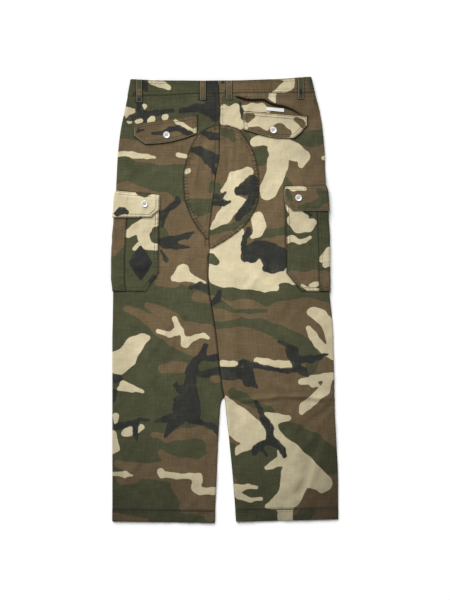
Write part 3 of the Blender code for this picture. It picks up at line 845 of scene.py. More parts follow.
def inset(line, distance):
    """A line of corners moved sideways, to the right of its direction, with mitred corners."""
    line = np.asarray(line, float)
    step = np.diff(line, axis=0)
    step = step / np.linalg.norm(step, axis=1)[:, None]
    normal = np.stack([step[:, 1], -step[:, 0]], -1)
    before = np.concatenate([normal[:1], normal])
    after = np.concatenate([normal, normal[-1:]])
    mitre = (before + after) / np.maximum(1 + (before * after).sum(1), 0.4)[:, None]
    return line + distance * mitre


def resample(line, step):
    """Points along a line of corners at an even step, and the directions there."""
    line = np.asarray(line, float)
    length = np.concatenate([[0.0], np.cumsum(np.hypot(*np.diff(line, axis=0).T))])
    at = np.arange(step / 2, length[-1], step)
    points = np.stack([np.interp(at, length, line[:, i]) for i in (0, 1)], -1)
    ahead = np.stack([np.interp(at + 0.4, length, line[:, i]) for i in (0, 1)], -1)
    behind = np.stack([np.interp(at - 0.4, length, line[:, i]) for i in (0, 1)], -1)
    heading = ahead - behind
    return points, heading / np.linalg.norm(heading, axis=1)[:, None]


STITCH_PITCH = 3.2
STITCH_LENGTH = 2.5
STITCH_RADIUS = 0.42
STITCH_SIDES = 5
STITCH_LIFT = 0.15  # how far the line through a stitch lies off the cloth


def stitch_points(lines, surface, pitch=STITCH_PITCH, up=1):
    """Stitches along lines of a piece's own two coordinates, laid on its surface: each is a
    spindle with two sunk pointed ends and two rings between."""
    groups = []
    angle = np.arange(STITCH_SIDES) * 2 * math.pi / STITCH_SIDES
    for line in lines:
        place, heading = resample(line, pitch)
        reach = STITCH_LENGTH / 2 * pitch / STITCH_PITCH
        ends = [place + heading * reach * share for share in (-1.0, -0.55, 0.55, 1.0)]
        ends = np.stack([surface(end[:, 0], end[:, 1]) for end in ends], axis=1)
        forward = ends[:, 3] - ends[:, 0]
        aside = np.stack([forward[:, 1], -forward[:, 0], 0 * forward[:, 0]], -1)
        aside = aside / np.linalg.norm(aside, axis=1)[:, None]
        turned = aside[:, None] * np.cos(angle)[:, None] + np.array([0, 0, 1.0]) * np.sin(angle)[:, None]
        ring_one = ends[:, 1, None] + STITCH_RADIUS * turned
        ring_two = ends[:, 2, None] + STITCH_RADIUS * turned
        sunk = np.array([0, 0, -0.25 * up])
        rings = [ends[:, :1] + sunk, ring_one, ring_two, ends[:, 3:] + sunk]
        groups.append(np.concatenate(rings, axis=1))
    points = np.concatenate(groups)
    points[..., 2] = np.maximum(points[..., 2], 0.02)
    return points


def stitch_mesh(name, lots):
    """One mesh from stitches, each of 2 + 2 * sides points: tail, two rings, tip."""
    points = np.concatenate(lots)
    count, each = points.shape[:2]
    ring = 1 + np.arange(STITCH_SIDES)
    after = 1 + (np.arange(STITCH_SIDES) + 1) % STITCH_SIDES
    tip = each - 1
    tail_fan = np.stack([0 * ring, after, ring], -1)
    side_one = np.stack([ring, after, after + STITCH_SIDES], -1)
    side_two = np.stack([ring, after + STITCH_SIDES, ring + STITCH_SIDES], -1)
    tip_fan = np.stack([ring + STITCH_SIDES, after + STITCH_SIDES, 0 * ring + tip], -1)
    faces = np.concatenate([tail_fan, side_one, side_two, tip_fan])
    start = np.arange(count)[:, None, None] * each
    corner = points[0][faces] - points[0].mean(0)
    if (corner[:, 0] * np.cross(corner[:, 1], corner[:, 2])).sum() < 0:
        faces = faces[:, ::-1]
    return mesh_from(name, points.reshape(-1, 3), (faces[None] + start).reshape(-1, 3), 0)


def sewn_piece(node, outer, inner, design, edge, run, cut, rests_on, lots, pucker=1.0, depth=0.0):
    """A printed piece of cloth with its stitches. Its wall carries the print and what the finish
    reads: the distance in from its sewn edge, the distance along that edge, how much the sewing
    puckers it (which also sets where the finish paints a highlight or a rim shade), how much painted
    shade darkens a place (depth), and how high in the folds it lies, which the finish paints as lighter
    ridges and darker troughs. design is a print or, for a piece made of two, its ready fields. cut is
    where its points lie across and along the flat cloth."""
    x, y = outer[..., 0], outer[..., 1]
    fields = print_fields(design, x, y) if "ground" in design else dict(design)
    relief = np.clip(folds(x, y) + creases(x, y), -3.5, 3.5)
    fields.update(edge=edge, run=run, pucker=pucker, depth=depth, relief=relief)
    piece = wall(f"cloth_{node}", outer, inner, fields)
    finish_piece(piece, CLOTH_FINISH, node)
    thread = []
    if lots:
        thread = [stitch_mesh(f"stitches_{node}", lots)]
        finish_piece(thread[0], THREAD_FINISH, node)
    flat, area = cut_size(*cut)


# Distances in from an edge at which a sewn piece has points: close by the rolled rim and the rows.
NEAR_EDGE = np.array([0.0, 0.3, 0.8, 1.5, 2.2, 3.0, 4.2, 6.0, 7.2, 8.0, 8.8, 10.5])
FIRST_ROW = 2.2
SECOND_ROW = 8.0


def spread(length, step):
    """Distances from 0 to a length, or to each of a column of lengths: close together near both
    ends, even between."""
    length = np.atleast_1d(length)
    near = NEAR_EDGE * np.minimum(1, length / 26)
    far = length - near[..., ::-1]
    count = max(2, int(length.max() / step))
    share = np.linspace(0, 1, count + 2)[1:-1]
    middle = near[..., -1:] + (far[..., :1] - near[..., -1:]) * share
    return np.concatenate([near, middle, far], axis=-1)


def two_rows(rim, hand=1):
    """Two rows of stitches along a rim, to the right of its direction, or with -1 to the left."""
    return [inset(rim, hand * row) for row in (FIRST_ROW, SECOND_ROW)]


def rolled(edge, thick, radius=1.4):
    """Height of a turned-in edge: a quarter round up to the full thickness."""
    return thick * np.sqrt(1 - (1 - np.clip(edge / radius, 0, 1)) ** 2)


def sewn_edge(outline, x, y):
    """Distance in from a sewn outline, distance along it, and a share of puckering: 1 along each
    side, and 0 on a sharp corner's mitre, where the distance along leaps by twice that from the
    corner. A closed outline's distance along is measured both ways from its far side."""
    edge, run = line_distance(outline, x, y)
    step = np.diff(outline, axis=0)
    place = np.cumsum(np.hypot(step[:, 0], step[:, 1]))
    heading = np.arctan2(step[:, 1], step[:, 0])
    bend = abs((np.diff(heading) + math.pi) % (2 * math.pi) - math.pi)
    share = 1.0 + 0 * edge
    for turn, corner in zip(bend[bend > 0.4], place[:-1][bend > 0.4]):
        share = np.minimum(share, smooth((abs(run - corner) - edge * math.tan(turn / 2)) / 4))
    if np.allclose(outline[0], outline[-1]):
        run = abs(run - place[-1] / 2)
    return edge, run, share


def gathers(edge, run, share, depth, pitch, reach):
    """Small puckers square to a sewn edge, fading inwards, and a dent along each row."""
    waves = depth * share * noise(run, 0 * run + 3.1, pitch, 31) * bell(edge, reach)
    dents = bell(edge - FIRST_ROW, 0.9) + bell(edge - SECOND_ROW, 0.9)
    return waves - 0.16 * dents


def puckering(edge, share):
    """The share of puckering that the finish shows: whole by the rim, so that its wear, painted
    highlight and painted rim shade run on round a corner."""
    return np.maximum(share, smooth(3.5 - edge))


# Finishes


class Value:
    """A node's output that takes part in sums: each operator adds one Math node."""

    def __init__(self, nodes, socket):
        self.nodes = nodes
        self.socket = socket

    def __add__(self, other):
        return self.nodes.math("ADD", self, other)

    def __sub__(self, other):
        return self.nodes.math("SUBTRACT", self, other)

    def __rsub__(self, other):
        return self.nodes.math("SUBTRACT", other, self)

    def __mul__(self, other):
        return self.nodes.math("MULTIPLY", self, other)

    def __truediv__(self, other):
        return self.nodes.math("DIVIDE", self, other)

    def __abs__(self):
        return self.nodes.math("ABSOLUTE", self)


class Nodes:
    """Short calls for one material's node tree. place is the point on the object. An input may be
    a number, a colour or a Value, and each call but put and set gives a Value."""

    def __init__(self, name):
        self.material = bpy.data.materials.new(name)
        self.material.use_nodes = True
        self.tree = self.material.node_tree
        self.shader = self.tree.nodes["Principled BSDF"]
        self.place = self.add("TexCoord", "Object")

    def put(self, value, entry):
        """Links a Value to a node's input, or sets anything else there."""
        if isinstance(value, Value):
            self.tree.links.new(value.socket, entry)
        else:
            entry.default_value = value

    def add(self, kind, output, inputs=None, **settings):
        """A node of a kind, with its settings made first. output names the one that is used."""
        node = self.tree.nodes.new("ShaderNode" + kind)
        for key, value in settings.items():
            setattr(node, key, value)
        for key, value in (inputs or {}).items():
            self.put(value, node.inputs[key])
        return Value(self, node.outputs[output])

    def math(self, operation, *values):
        return self.add("Math", 0, dict(enumerate(values)), operation=operation)

    def mix(self, factor, a, b, blend="MIX"):
        return self.add("Mix", 2, {0: factor, 6: a, 7: b}, data_type="RGBA", blend_type=blend)

    def field(self, name):
        """A named value that the mesh carries."""
        return self.add("Attribute", "Fac", attribute_name=name, attribute_type="GEOMETRY")

    def noise(self, scale, detail=2.0, rough=0.5, at=None):
        vector = self.place if at is None else at
        inputs = {"Vector": vector, "Scale": scale, "Detail": detail, "Roughness": rough}
        return self.add("TexNoise", "Fac", inputs)

    def stretched(self, scale):
        """The point on the object, with each axis scaled."""
        return self.add("Mapping", 0, {"Vector": self.place, "Scale": scale})

    def wave(self, axis, scale, distortion, detail=2.0):
        inputs = {"Vector": self.place, "Scale": scale, "Distortion": distortion, "Detail": detail}
        return self.add("TexWave", "Fac", inputs, bands_direction=axis)

    def ramp(self, value, low, high):
        """0 at low, 1 at high, smooth between."""
        inputs = {"Value": value, "From Min": low, "From Max": high}
        return self.add("MapRange", 0, inputs, interpolation_type="SMOOTHSTEP")

    def between(self, value, low, high):
        """A value from 0 to 1, moved to lie from low to high."""
        return self.add("MapRange", 0, {"Value": value, "To Min": low, "To Max": high})

    def set(self, **values):
        """The shader's sockets, with _ for each space: a value is linked, a number is set."""
        for key, value in values.items():
            self.put(value, self.shader.inputs[key.replace("_", " ")])

    def bump(self, height, strength, distance, normal=None):
        inputs = {"Height": height, "Strength": strength, "Distance": distance}
        if normal is not None:
            inputs["Normal"] = normal
        return self.add("Bump", 0, inputs)


def cloth_finish():
    """Printed ripstop: four inks thresholded from the fields, a fine weave with a square grid of
    thicker threads, washed variation, puckers along sewn edges, and soft bumps. Its colour also
    carries painted light and shade: a painted fall-off of light away from the seat, painted light
    and shade along the puckers and folds, wear with a painted highlight on free edges, and painted
    shade in the stitch grooves, at rims and from the depth field."""
    n = Nodes("camouflage_ripstop")
    fuzz = (n.noise(260.0, 3.0) - 0.5) * 1.6

    def inked(name, soft):
        """1 inside an ink's strokes, through a fuzzy edge to 0."""
        return n.ramp(n.field(name) + fuzz, soft, -soft)

    mottle = n.noise(26.0, 5.0, 0.65)
    green = n.mix(mottle, (0.056, 0.060, 0.029, 1), (0.084, 0.086, 0.045, 1))
    brown = n.mix(mottle, (0.118, 0.082, 0.043, 1), (0.168, 0.119, 0.064, 1))
    tan = n.mix(mottle, (0.56, 0.485, 0.305, 1), (0.68, 0.595, 0.395, 1))
    black = n.mix(mottle, (0.021, 0.023, 0.021, 1), (0.040, 0.041, 0.035, 1))
    washed = n.ramp(n.noise(19.0, 2.0), 0.54, 0.64) * 0.45
    black = n.mix(washed, black, (0.052, 0.056, 0.040, 1))
    colour = n.mix(inked("brown", 0.9), green, brown)
    pale = inked("tan", 0.6)
    colour = n.mix(pale, colour, tan)
    across = n.noise(1.0, 3.0, 0.75, n.stretched((40.0, 800.0, 40.0)))
    down = n.noise(1.0, 3.0, 0.75, n.stretched((800.0, 40.0, 40.0)))
    broad_across = n.noise(1.0, 2.0, 0.6, n.stretched((30.0, 330.0, 30.0)))
    broad = broad_across + n.noise(1.0, 2.0, 0.6, n.stretched((330.0, 30.0, 30.0)))
    slub = across + down
    bare = n.ramp(slub, 0.98, 1.25) * n.ramp(n.noise(40.0, 3.0), 0.2, 0.9)
    inky = inked("black", 1.1) * (1.0 - bare * 0.3)
    colour = n.mix(inky, colour, black)
    tone = (slub - 1.0) * 0.85 + (broad - 1.0) * 0.5
    tone = tone * (0.85 - pale * 0.5)
    # Painted light fall-off: the colour is brightest at a point a little left of the middle, low on the
    # seat, and darkens away from it, most towards the hems.
    east = n.add("SeparateXYZ", "X", {"Vector": n.place})
    north = n.add("SeparateXYZ", "Y", {"Vector": n.place})
    away_x = (east + 0.06) / 0.42
    away_y = (north - 0.16) / 0.66
    away = away_x * away_x + away_y * away_y
    painted_light_falloff = 1.06 - away * 0.47
    colour = n.mix(1.0, colour, painted_light_falloff * (tone + 1.0), "MULTIPLY")

    edge = n.field("edge")
    run = n.field("run")
    pucker = n.field("pucker")
    along_edge = n.add("CombineXYZ", 0, {"X": run * 0.2, "Y": edge * 0.03})
    gathers = n.noise(1.0, 2.0, 0.6, along_edge)
    near = n.ramp(edge, 19.0, 2.0) * pucker
    phase = run * 0.78 + gathers * 11.0
    ticks = n.math("SINE", phase) * n.ramp(edge, 15.0, 5.0)
    ticks = ticks * n.ramp(pucker, 0.84, 1.0)
    # Painted light and shade: the colour is made lighter and darker with the puckers, their ticks and the
    # height of the folds.
    painted_relief_shading = (gathers - 0.5) * (near * 1.6)
    painted_relief_shading = painted_relief_shading + ticks * 0.16
    painted_relief_shading = painted_relief_shading + n.field("relief") * 0.05
    colour = n.mix(1.0, colour, painted_relief_shading + 1.0, "MULTIPLY")
    # Paler colour on the free edges of flaps and belt loops: wear, and a painted highlight on their rolled
    # edges.
    free_edge = n.ramp(pucker, 0.58, 0.68) * n.ramp(pucker, 0.8, 0.72)
    wear_and_painted_highlight = n.ramp(edge, 3.0, 0.8) * (n.noise(120.0, 3.0) + 0.25)
    colour = n.mix(wear_and_painted_highlight * (free_edge * 0.5), colour, (0.38, 0.33, 0.23, 1))
    # Painted shade in the grooves along the two rows of stitches.
    rows = n.ramp(abs(edge - FIRST_ROW), 1.1, 0.2) + n.ramp(abs(edge - SECOND_ROW), 1.1, 0.2)
    rows = rows * n.ramp(pucker, 0.05, 0.3)
    colour = n.mix(rows * 0.3, colour, (0.05, 0.045, 0.03, 1))
    # Painted shade: near black at the rims of the seat patch and the pockets, and as much as the depth
    # field gives in seams, creases and beside sewn-on pieces.
    rim = n.ramp(edge, 1.5, 0.2) * n.ramp(pucker, 0.8, 0.88)
    painted_shade = n.math("MAXIMUM", n.field("depth"), rim * 0.8)
    colour = n.mix(painted_shade * 0.93, colour, (0.009, 0.008, 0.006, 1))
    n.set(Base_Color=colour)

    threads = n.wave("X", 180.0, 1.0, 1.0)
    wefts = n.wave("Y", 180.0, 1.0, 1.0)
    weave = threads * 0.5 + wefts * 0.5
    grid = {"Vector": n.place, "Scale": 36.0, "Mortar Size": 0.045, "Mortar Smooth": 0.6,
            "Brick Width": 0.2, "Row Height": 0.2}
    cell = n.add("TexBrick", "Fac", grid, offset=0.0, squash=1.0)
    fine = weave * 0.25 + cell * 0.6 + slub * 0.6
    normal = n.bump(fine, 0.5, 0.00016)

    gathers = gathers * near + ticks * 0.5
    grooves = rows * -0.35
    normal = n.bump(gathers + grooves, 0.9, 0.0016, normal)
    rumple = n.noise(50.0, 4.0, 0.55, n.stretched((1.0, 0.6, 1.0)))
    normal = n.bump(rumple, 0.6, 0.0030, normal)
    n.set(Normal=normal, Roughness=n.between(mottle, 0.78, 0.95), Specular_IOR_Level=0.12)
    n.set(Sheen_Weight=0.03, Sheen_Roughness=0.5)
    return n.material


def thread_finish(name, dark, light):
    """Sewing thread: twisted two-ply tone along each stitch."""
    n = Nodes(name)
    n.set(Base_Color=n.mix(n.noise(700.0, 2.0), dark, light))
    n.set(Normal=n.bump(n.noise(2600.0, 1.0), 0.5, 0.0001))
    n.set(Roughness=0.7, Sheen_Weight=0.2)
    return n.material


def metal_finish():
    """Pale button metal, finely brushed, in random patches paler and duller."""
    n = Nodes("button_metal")
    wear = n.noise(420.0, 4.0, 0.6)
    n.set(Base_Color=n.mix(wear, (0.70, 0.69, 0.67, 1), (0.90, 0.89, 0.87, 1)))
    n.set(Roughness=n.between(wear, 0.34, 0.52))
    n.set(Normal=n.bump(n.noise(1500.0, 2.0), 0.3, 0.00008))
    n.set(Metallic=0.55)
    return n.material


def leather_finish():
    """Black leather: pebbled grain, a soft sheen and rubbed high spots."""
    n = Nodes("black_leather")
    inputs = {"Vector": n.place, "Scale": 900.0}
    grain = n.add("TexVoronoi", "Distance", inputs, feature="DISTANCE_TO_EDGE")
    cloud = n.noise(90.0, 3.0)
    n.set(Base_Color=n.mix(cloud, (0.006, 0.006, 0.006, 1), (0.018, 0.017, 0.016, 1)))
    n.set(Roughness=n.between(cloud, 0.42, 0.62))
    n.set(Specular_IOR_Level=0.3)
    n.set(Normal=n.bump(grain + cloud * 0.5, 0.5, 0.0004))
    return n.material


def tag_finish():
    """White woven ribbon with a fine rib."""
    n = Nodes("tag_ribbon")
    rib = n.wave("Y", 320.0, 0.6)
    soil = n.noise(150.0, 3.0)
    n.set(Base_Color=n.mix(soil, (0.66, 0.64, 0.60, 1), (0.84, 0.83, 0.80, 1)))
    n.set(Normal=n.bump(rib, 0.5, 0.00015))
    n.set(Roughness=0.65)
    return n.material


CLOTH_FINISH = cloth_finish()
THREAD_FINISH = thread_finish("olive_thread", (0.022, 0.021, 0.013, 1), (0.07, 0.062, 0.038, 1))
BLACK_THREAD_FINISH = thread_finish("black_thread", (0.02, 0.02, 0.02, 1), (0.06, 0.058, 0.055, 1))
METAL_FINISH = metal_finish()
LEATHER_FINISH = leather_finish()
TAG_FINISH = tag_finish()


# Panels

# The mouth of the right back pocket sags open along this line.
GAPE = np.array([
    (22, 492), (36, 488.5), (50, 484.5), (70, 482.5), (88, 484), (96, 482.5), (110, 474.5), (126, 470),
    (141, 467.5), (161, 460), (177, 450.5), (193, 441),
], float)


def gape(x, y):
    """The sagging lip of the pocket mouth: how far the cloth is lifted and slid down over the
    line, and how much painted shade darkens a place under the lip."""
    away, run = line_distance(GAPE, x, y)
    above = np.where(y > np.interp(x, GAPE[:, 0], GAPE[:, 1]), away, -away)
    strong = smooth(run / 9) * smooth((196 - run) / 75) * (0.88 + 0.12 * noise(run, 0 * run, 17, 8))
    lip = np.where(above > 0, bell(above - 4, 6.5), 0.685 * bell(above, 1.6))
    hollow = bell(above + 4, 4)
    slide = np.where(above > 0, bell(above - 1, 3.5), 0.92 * bell(above, 1.3))
    # The painted shade under the lip.
    shade = bell(np.maximum(abs(above + 1.6) - 1.6, 0), 2.2)
    return strong * (6.5 * lip - 1.6 * hollow), -4.6 * strong * slide, np.minimum(1.25 * strong, 1) * shade


def panel_columns(width, step):
    """Distances in from the outseam's turn to each width, closer together near the inner edge."""
    near = np.array([16.0, 12.5, 10.5, 9.5, 8.0, 6.0, 4.0, 2.6, 1.6, 0.8, 0.0])
    share = np.linspace(0, 1, int(265 / step))[:-1]
    return np.concatenate([(width - near[0]) * share, width - near], axis=-1)


def flat_width(side, y):
    """A leg's width where it lies, from edge to edge."""
    return abs(inner_edge(side, y) - outer_edge(side, y))


def panel_points(side, face, rows, out, step):
    """Points of a leg panel's grid, moved out of its face by a distance for each point.

    Columns run from the outseam, round its quarter turn, across the flat and round the inseam's
    quarter turn. Above the crotch that last turn lies flat, up to the centre seam.
    """
    turn = np.linspace(0, 1, 6)
    last = len(turn) - 1
    width = flat_width(side, rows) - 2 * TURN_REACH
    inward = panel_columns(width, step)
    middle = np.zeros(inward.shape[1])
    first = np.repeat(0 * width, last, axis=1)
    inward = np.concatenate([first, inward, np.repeat(width, last, axis=1)], axis=1)
    flat_x = outer_edge(side, rows) - side * (TURN_REACH + inward)
    ends = np.zeros(last)
    turned_out = np.concatenate([np.cos(turn[:-1] * math.pi / 2), middle, ends])
    turned_in = np.concatenate([ends, middle, np.sin(turn[1:] * math.pi / 2)])
    in_step = np.concatenate([ends, middle, turn[1:]])
    up_out = np.concatenate([np.sin(turn[:-1] * math.pi / 2), middle + 1, ends + 1])
    up_in = np.concatenate([ends + 1, middle + 1, np.cos(turn[1:] * math.pi / 2)])
    folded = below_crotch(rows)
    laid_flat = (1 - folded) * (TURN_REACH - SEAM_GAP / 2) * in_step
    moved_in = folded * (TURN_REACH + out) * turned_in + laid_flat
    x = flat_x + side * (TURN_REACH + out) * turned_out - side * moved_in
    y = true_height(rows, flat_x)
    half = thickness(side, flat_x - side * laid_flat, y) / 2
    up = up_out * (folded * up_in + (1 - folded))
    z = lower_face(side, flat_x, y) + half + face * (SEAM_GAP / 2 + (half + out - SEAM_GAP / 2) * up)
    if side > 0 and face > 0:
        lift, slide, _ = gape(x, y)
        z = z + lift * up
        y = y + slide
    return np.stack([x, y, z], axis=-1)


def panel_cut(side, rows, step):
    """Where a leg panel's points lie when it is cut: its turns unrolled, its face flat."""
    turn = np.linspace(0, 1, 6)
    width = flat_width(side, rows) - 2 * TURN_REACH
    folded = below_crotch(rows)
    last = folded * TURN_LENGTH + (1 - folded) * (TURN_REACH - SEAM_GAP / 2)
    first = TURN_LENGTH * turn[:-1] + 0 * width
    middle = TURN_LENGTH + panel_columns(width, step)
    across = np.concatenate([first, middle, TURN_LENGTH + width + last * turn[1:]], axis=1)
    x = outer_edge(side, rows) + side * (TURN_LENGTH - TURN_REACH - across)
    return x, true_height(rows, x)


def painted_loop_shade(x, y):
    """How much painted shade darkens the cloth right beside the belt loops."""
    shade = 0.0 * x
    for centre in BACK_LOOPS.values():
        low = band_seam(centre) - LOOP_DROP - 0.3
        left = centre - LOOP_WIDTH / 2 - 0.4
        right = centre + LOOP_WIDTH / 2 + 0.4
        line = [(left, 550), (left, low), (right, low), (right, 550)]
        shade = np.maximum(shade, 0.85 * bell(line_distance(line, x, y)[0], 1.5))
    return shade


def painted_contact_shade(side, x, y):
    """How much painted shade darkens a back panel beside the pieces sewn on it: painted shadow under the
    back flaps' lower and right edges, painted shade by the seat patch, the flaps, the pockets and the belt
    loops, and beside the right leg's edge where it lies over the left.
    """
    shade = 0.0 * x
    flap = BACK_FLAP[side]
    hung = np.stack([flap["x"], flap["low"]], -1)
    hung = np.concatenate([hung, [(flap["x"][-1] + 0.6, flap["top"][-1])]])
    lines = ((seat_outline(side), 0.92, 1.9), (flap_outline(side), 0.35, 1.6), (hung, 1.0, 2.9),
             (pocket_outline(side), 0.85, 1.9))
    for line, strength, width in lines:
        away = line_distance(line, x, y)[0]
        shade = np.maximum(shade, strength * bell(away, width))
    shade = np.maximum(shade, painted_loop_shade(x, y))
    # Painted shadow on the left leg beside the edge of the right leg lying over it.
    if side < 0:
        crossed = smooth((CROTCH_Y - y) / 20) * smooth((y + 240) / 8)
        under = np.maximum(inner_edge(1, y) - x, 0)
        shade = np.maximum(shade, crossed * bell(under, 3.2))
    return shade


def build_panel(side, face):
    """One leg panel. Its hem is doubled, and it is sewn at the waistband, the centre seam and the
    hem. The felled centre seam's two rows are on the left panel."""
    step = BACK_STEP if face > 0 else FRONT_STEP
    hem_line = HEM_NOMINAL + HEM_DEPTH
    upper = np.linspace(BAND_NOMINAL, FINE_LOW, 46 if face > 0 else 9)
    middle = np.linspace(FINE_LOW, hem_line, int((FINE_LOW - hem_line) / step))[1:]
    fold = hem_line - np.array([0.8, 1.6, 2.6])
    lower = np.linspace(hem_line - 4.5, HEM_NOMINAL, 10)
    rows = np.concatenate([upper, middle, fold, lower])[:, None]
    hem = smooth((hem_line - rows) / 1.5)
    roll = 0.5 * smooth((HEM_NOMINAL + 3 - rows) / 3)
    outer = panel_points(side, face, rows, 0.35 * hem * (face > 0) - roll, step)
    inner = panel_points(side, face, rows, -CLOTH - 0.9 * hem, step)
    x = outer[..., 0]
    y = outer[..., 1]
    from_band = BAND_NOMINAL - rows + 0 * x
    seam = abs(x - inner_edge(side, rows))
    above = smooth((rows - CROTCH_Y) / 12)
    edge = np.minimum(from_band, seam + 60 * (1 - above))
    edge = np.minimum(edge, abs(rows - HEM_NOMINAL - HEM_PUCKERS) + FIRST_ROW + 0.8)
    run = np.where(seam < from_band, rows + 0 * x, x)
    run = np.where(rows < 0, x, run)
    leg = side_name(side)
    name = f"{'back' if face > 0 else 'front'}_panel_{leg}"
    cut = panel_cut(side, rows, step)
    if face < 0:
        design = scattered(40 + side, (-280, -540), (280, 520))
        sewn_piece(name, outer, inner, design, edge, run, cut, ["floor"], [], 0.5)
        return
    # Painted shade (depth): beside the sewn-on pieces, in the centre seam, at the felled seam's edge, at
    # the hem's fold, under the gaping pocket lip, and on the right leg's inner turn over the left leg.
    depth = painted_contact_shade(side, x, y)
    depth = np.maximum(depth, 0.85 * above * bell(seam, 1.3))
    if side < 0:
        depth = np.maximum(depth, 0.7 * above * bell(seam - FELLED_EDGE, 1.1))
    depth = np.maximum(depth, 0.95 * bell(rows - hem_line, 2.0))
    if side > 0:
        depth = np.maximum(depth, gape(x, y - gape(x, y)[1])[2])
        depth[:, -3:] = np.maximum(depth[:, -3:], 0.8 * (1 - above))
    lines = hem_rows(side)
    if side < 0:
        lines += felled_rows(BAND_NOMINAL - 7, SEAT_PATCH["y"][0] + 2, 12)
    lots = [stitch_points(lines, back_surface(side, STITCH_LIFT))]
    pucker = 0.6 * smooth(abs(seam - from_band) / 5)
    sewn_piece(name, outer, inner, PRINT[f"panel_{leg}"], edge, run, cut,
               [f"front_panel_{leg}"], lots, pucker, depth)


def back_surface(side, out):
    """The function from x and y to points on a leg's back, moved out."""
    return lambda x, y: on_back(side, x, y, out)


def hem_rows(side):
    """The hem's one row of stitches, a little uneven."""
    start = outer_edge(side, -500.0) - side * 5
    x = np.linspace(start, inner_edge(side, -500.0) + side * 4, 30)
    y = np.interp(x, HEM["x"], HEM["end"]) + HEM_ROW + 0.5 * noise(x, 0 * x, 30, 5)
    return [np.stack([x, y], -1)]


def felled_rows(top, low, count):
    """The two rows of the felled centre seam, on its left, from one height to another."""
    y = np.linspace(top, low, count)
    return [np.stack([inner_edge(-1, y) - row, y], -1) for row in FELLED_ROWS]


# Pieces sewn on the back


def seat_outline(side):
    """Rim of half the oval, from the centre seam at the top round to the centre seam below."""
    y = np.linspace(SEAT_PATCH["y"][0], SEAT_LOW[side], 60)
    rim = np.stack([along(side_name(side), SEAT_PATCH, "y", y), y], -1)
    first = (inner_edge(side, y[:1])[0], y[0])
    last = (inner_edge(side, y[-1:])[0], y[-1])
    return np.concatenate([[first], rim, [last]])


def build_seat_patch(side):
    """Half of the oval: rolled and gathered at the rim, with the rows of the centre seam."""
    outline = seat_outline(side)
    top = SEAT_PATCH["y"][0]
    y = top - spread(top - SEAT_LOW[side], 3.0)[:, None]
    seam = inner_edge(side, y) + side * SEAM_GAP / 2
    rim = along(side_name(side), SEAT_PATCH, "y", y)
    x = seam + side * spread(np.maximum(side * (rim - seam), 4), 3.0)
    y = y + 0 * x

    def surface(u, v, lift=STITCH_LIFT):
        """Points on the outer face, lifted."""
        edge, run, share = sewn_edge(outline, u, v)
        out = LAY_GAP + 0.15 + rolled(edge, CLOTH) + gathers(edge, run, share, 1.0, 5.5, 15)
        return on_back(side, u, v, out + lift)

    edge, run, share = sewn_edge(outline, x, y)
    outer = surface(x, y, 0.0)
    inner = on_back(side, x, y, LAY_GAP)
    lines = [inset(outline, side * FIRST_ROW)[2:-2]]
    if side < 0:
        lines += felled_rows(top - 3, SEAT_LOW[side] + 3, 40)
    seam_away = side * (x - seam)
    # Painted shade (depth) in the centre seam and along the felled seam's edge.
    depth = 0.8 * bell(seam_away, 1.2)
    if side < 0:
        fell = smooth((y - 240) / 90)
        depth = np.maximum(depth, 0.55 * fell * bell(seam_away - FELLED_EDGE, 1.1))
    name = side_name(side)
    lots = [stitch_points(lines, surface)]
    sewn_piece(f"seat_patch_{name}", outer, inner, PRINT[f"seat_{name}"], edge, run, (x, y),
               [f"back_panel_{name}"], lots, puckering(edge, share), depth)


def flap_level(side, column, x):
    """Height of a back flap's top or low edge."""
    return np.interp(x, BACK_FLAP[side]["x"], BACK_FLAP[side][column])


def flap_outline(side):
    """A back flap's closed outline, from the middle of its top edge, to the left, down and round."""
    flap = BACK_FLAP[side]
    top = np.stack([flap["x"], flap["top"]], -1)
    low = np.stack([flap["x"], flap["low"]], -1)
    middle = top[:1] * 0.5 + top[-1:] * 0.5
    middle[0, 1] = flap_level(side, "top", middle[0, 0])
    left = top[top[:, 0] < middle[0, 0]][::-1]
    right = top[top[:, 0] > middle[0, 0]][::-1]
    return np.concatenate([middle, left, low, right, middle])


def build_back_flap(side):
    """A flap hanging from its top edge. Its free edge stands off, and waves a little."""
    ends = BACK_FLAP[side]["x"]
    outline = flap_outline(side)
    x = ends[0] + spread(ends[-1] - ends[0], 2.6)
    top = flap_level(side, "top", x)
    y = (top[:, None] - spread((top - flap_level(side, "low", x))[:, None], 2.6)).T
    x = x + 0 * y
    button_x, button_y = BACK_BUTTON[side]

    def stand_off(u, v):
        """More with the square of the way down, less by the button."""
        top = flap_level(side, "top", u)
        share = np.clip((top - v) / (top - flap_level(side, "low", u)), 0, 1)
        pressed = bell(np.hypot(u - button_x, v - button_y), 13)
        free = (1.9 + 0.7 * noise(u, v, 28, 33 + side)) * share**2
        return LAY_GAP + 0.3 + free * (1 - 0.6 * pressed)

    def surface(u, v, lift=STITCH_LIFT):
        """Points on the outer face, lifted."""
        edge, run, share = sewn_edge(outline, u, v)
        out = stand_off(u, v) + 0.2 + rolled(edge, FLAP_CLOTH, 1.6)
        return on_back(side, u, v, out + gathers(edge, run, share, 0.3, 6.5, 8) + lift)

    edge, run, share = sewn_edge(outline, x, y)
    outer = surface(x, y, 0.0)
    inner = on_back(side, x, y, stand_off(x, y))
    lots = [stitch_points(two_rows(outline, -1), surface)]
    name = side_name(side)
    # Less pucker by the top edge keeps the paler wear and painted highlight to the free edges.
    pucker = puckering(edge, share) * (0.7 - 0.2 * bell(flap_level(side, "top", x) - y, 6))
    sewn_piece(f"back_flap_{name}", outer, inner, PRINT[f"back_flap_{name}"], edge, run, (x, y),
               [f"back_panel_{name}"], lots, pucker)
    height = surface(np.array([button_x]), np.array([button_y]), 0.2)[0, 2]
    build_button(f"back_button_{name}", button_x, button_y, height, BUTTON_HEIGHT, 1)


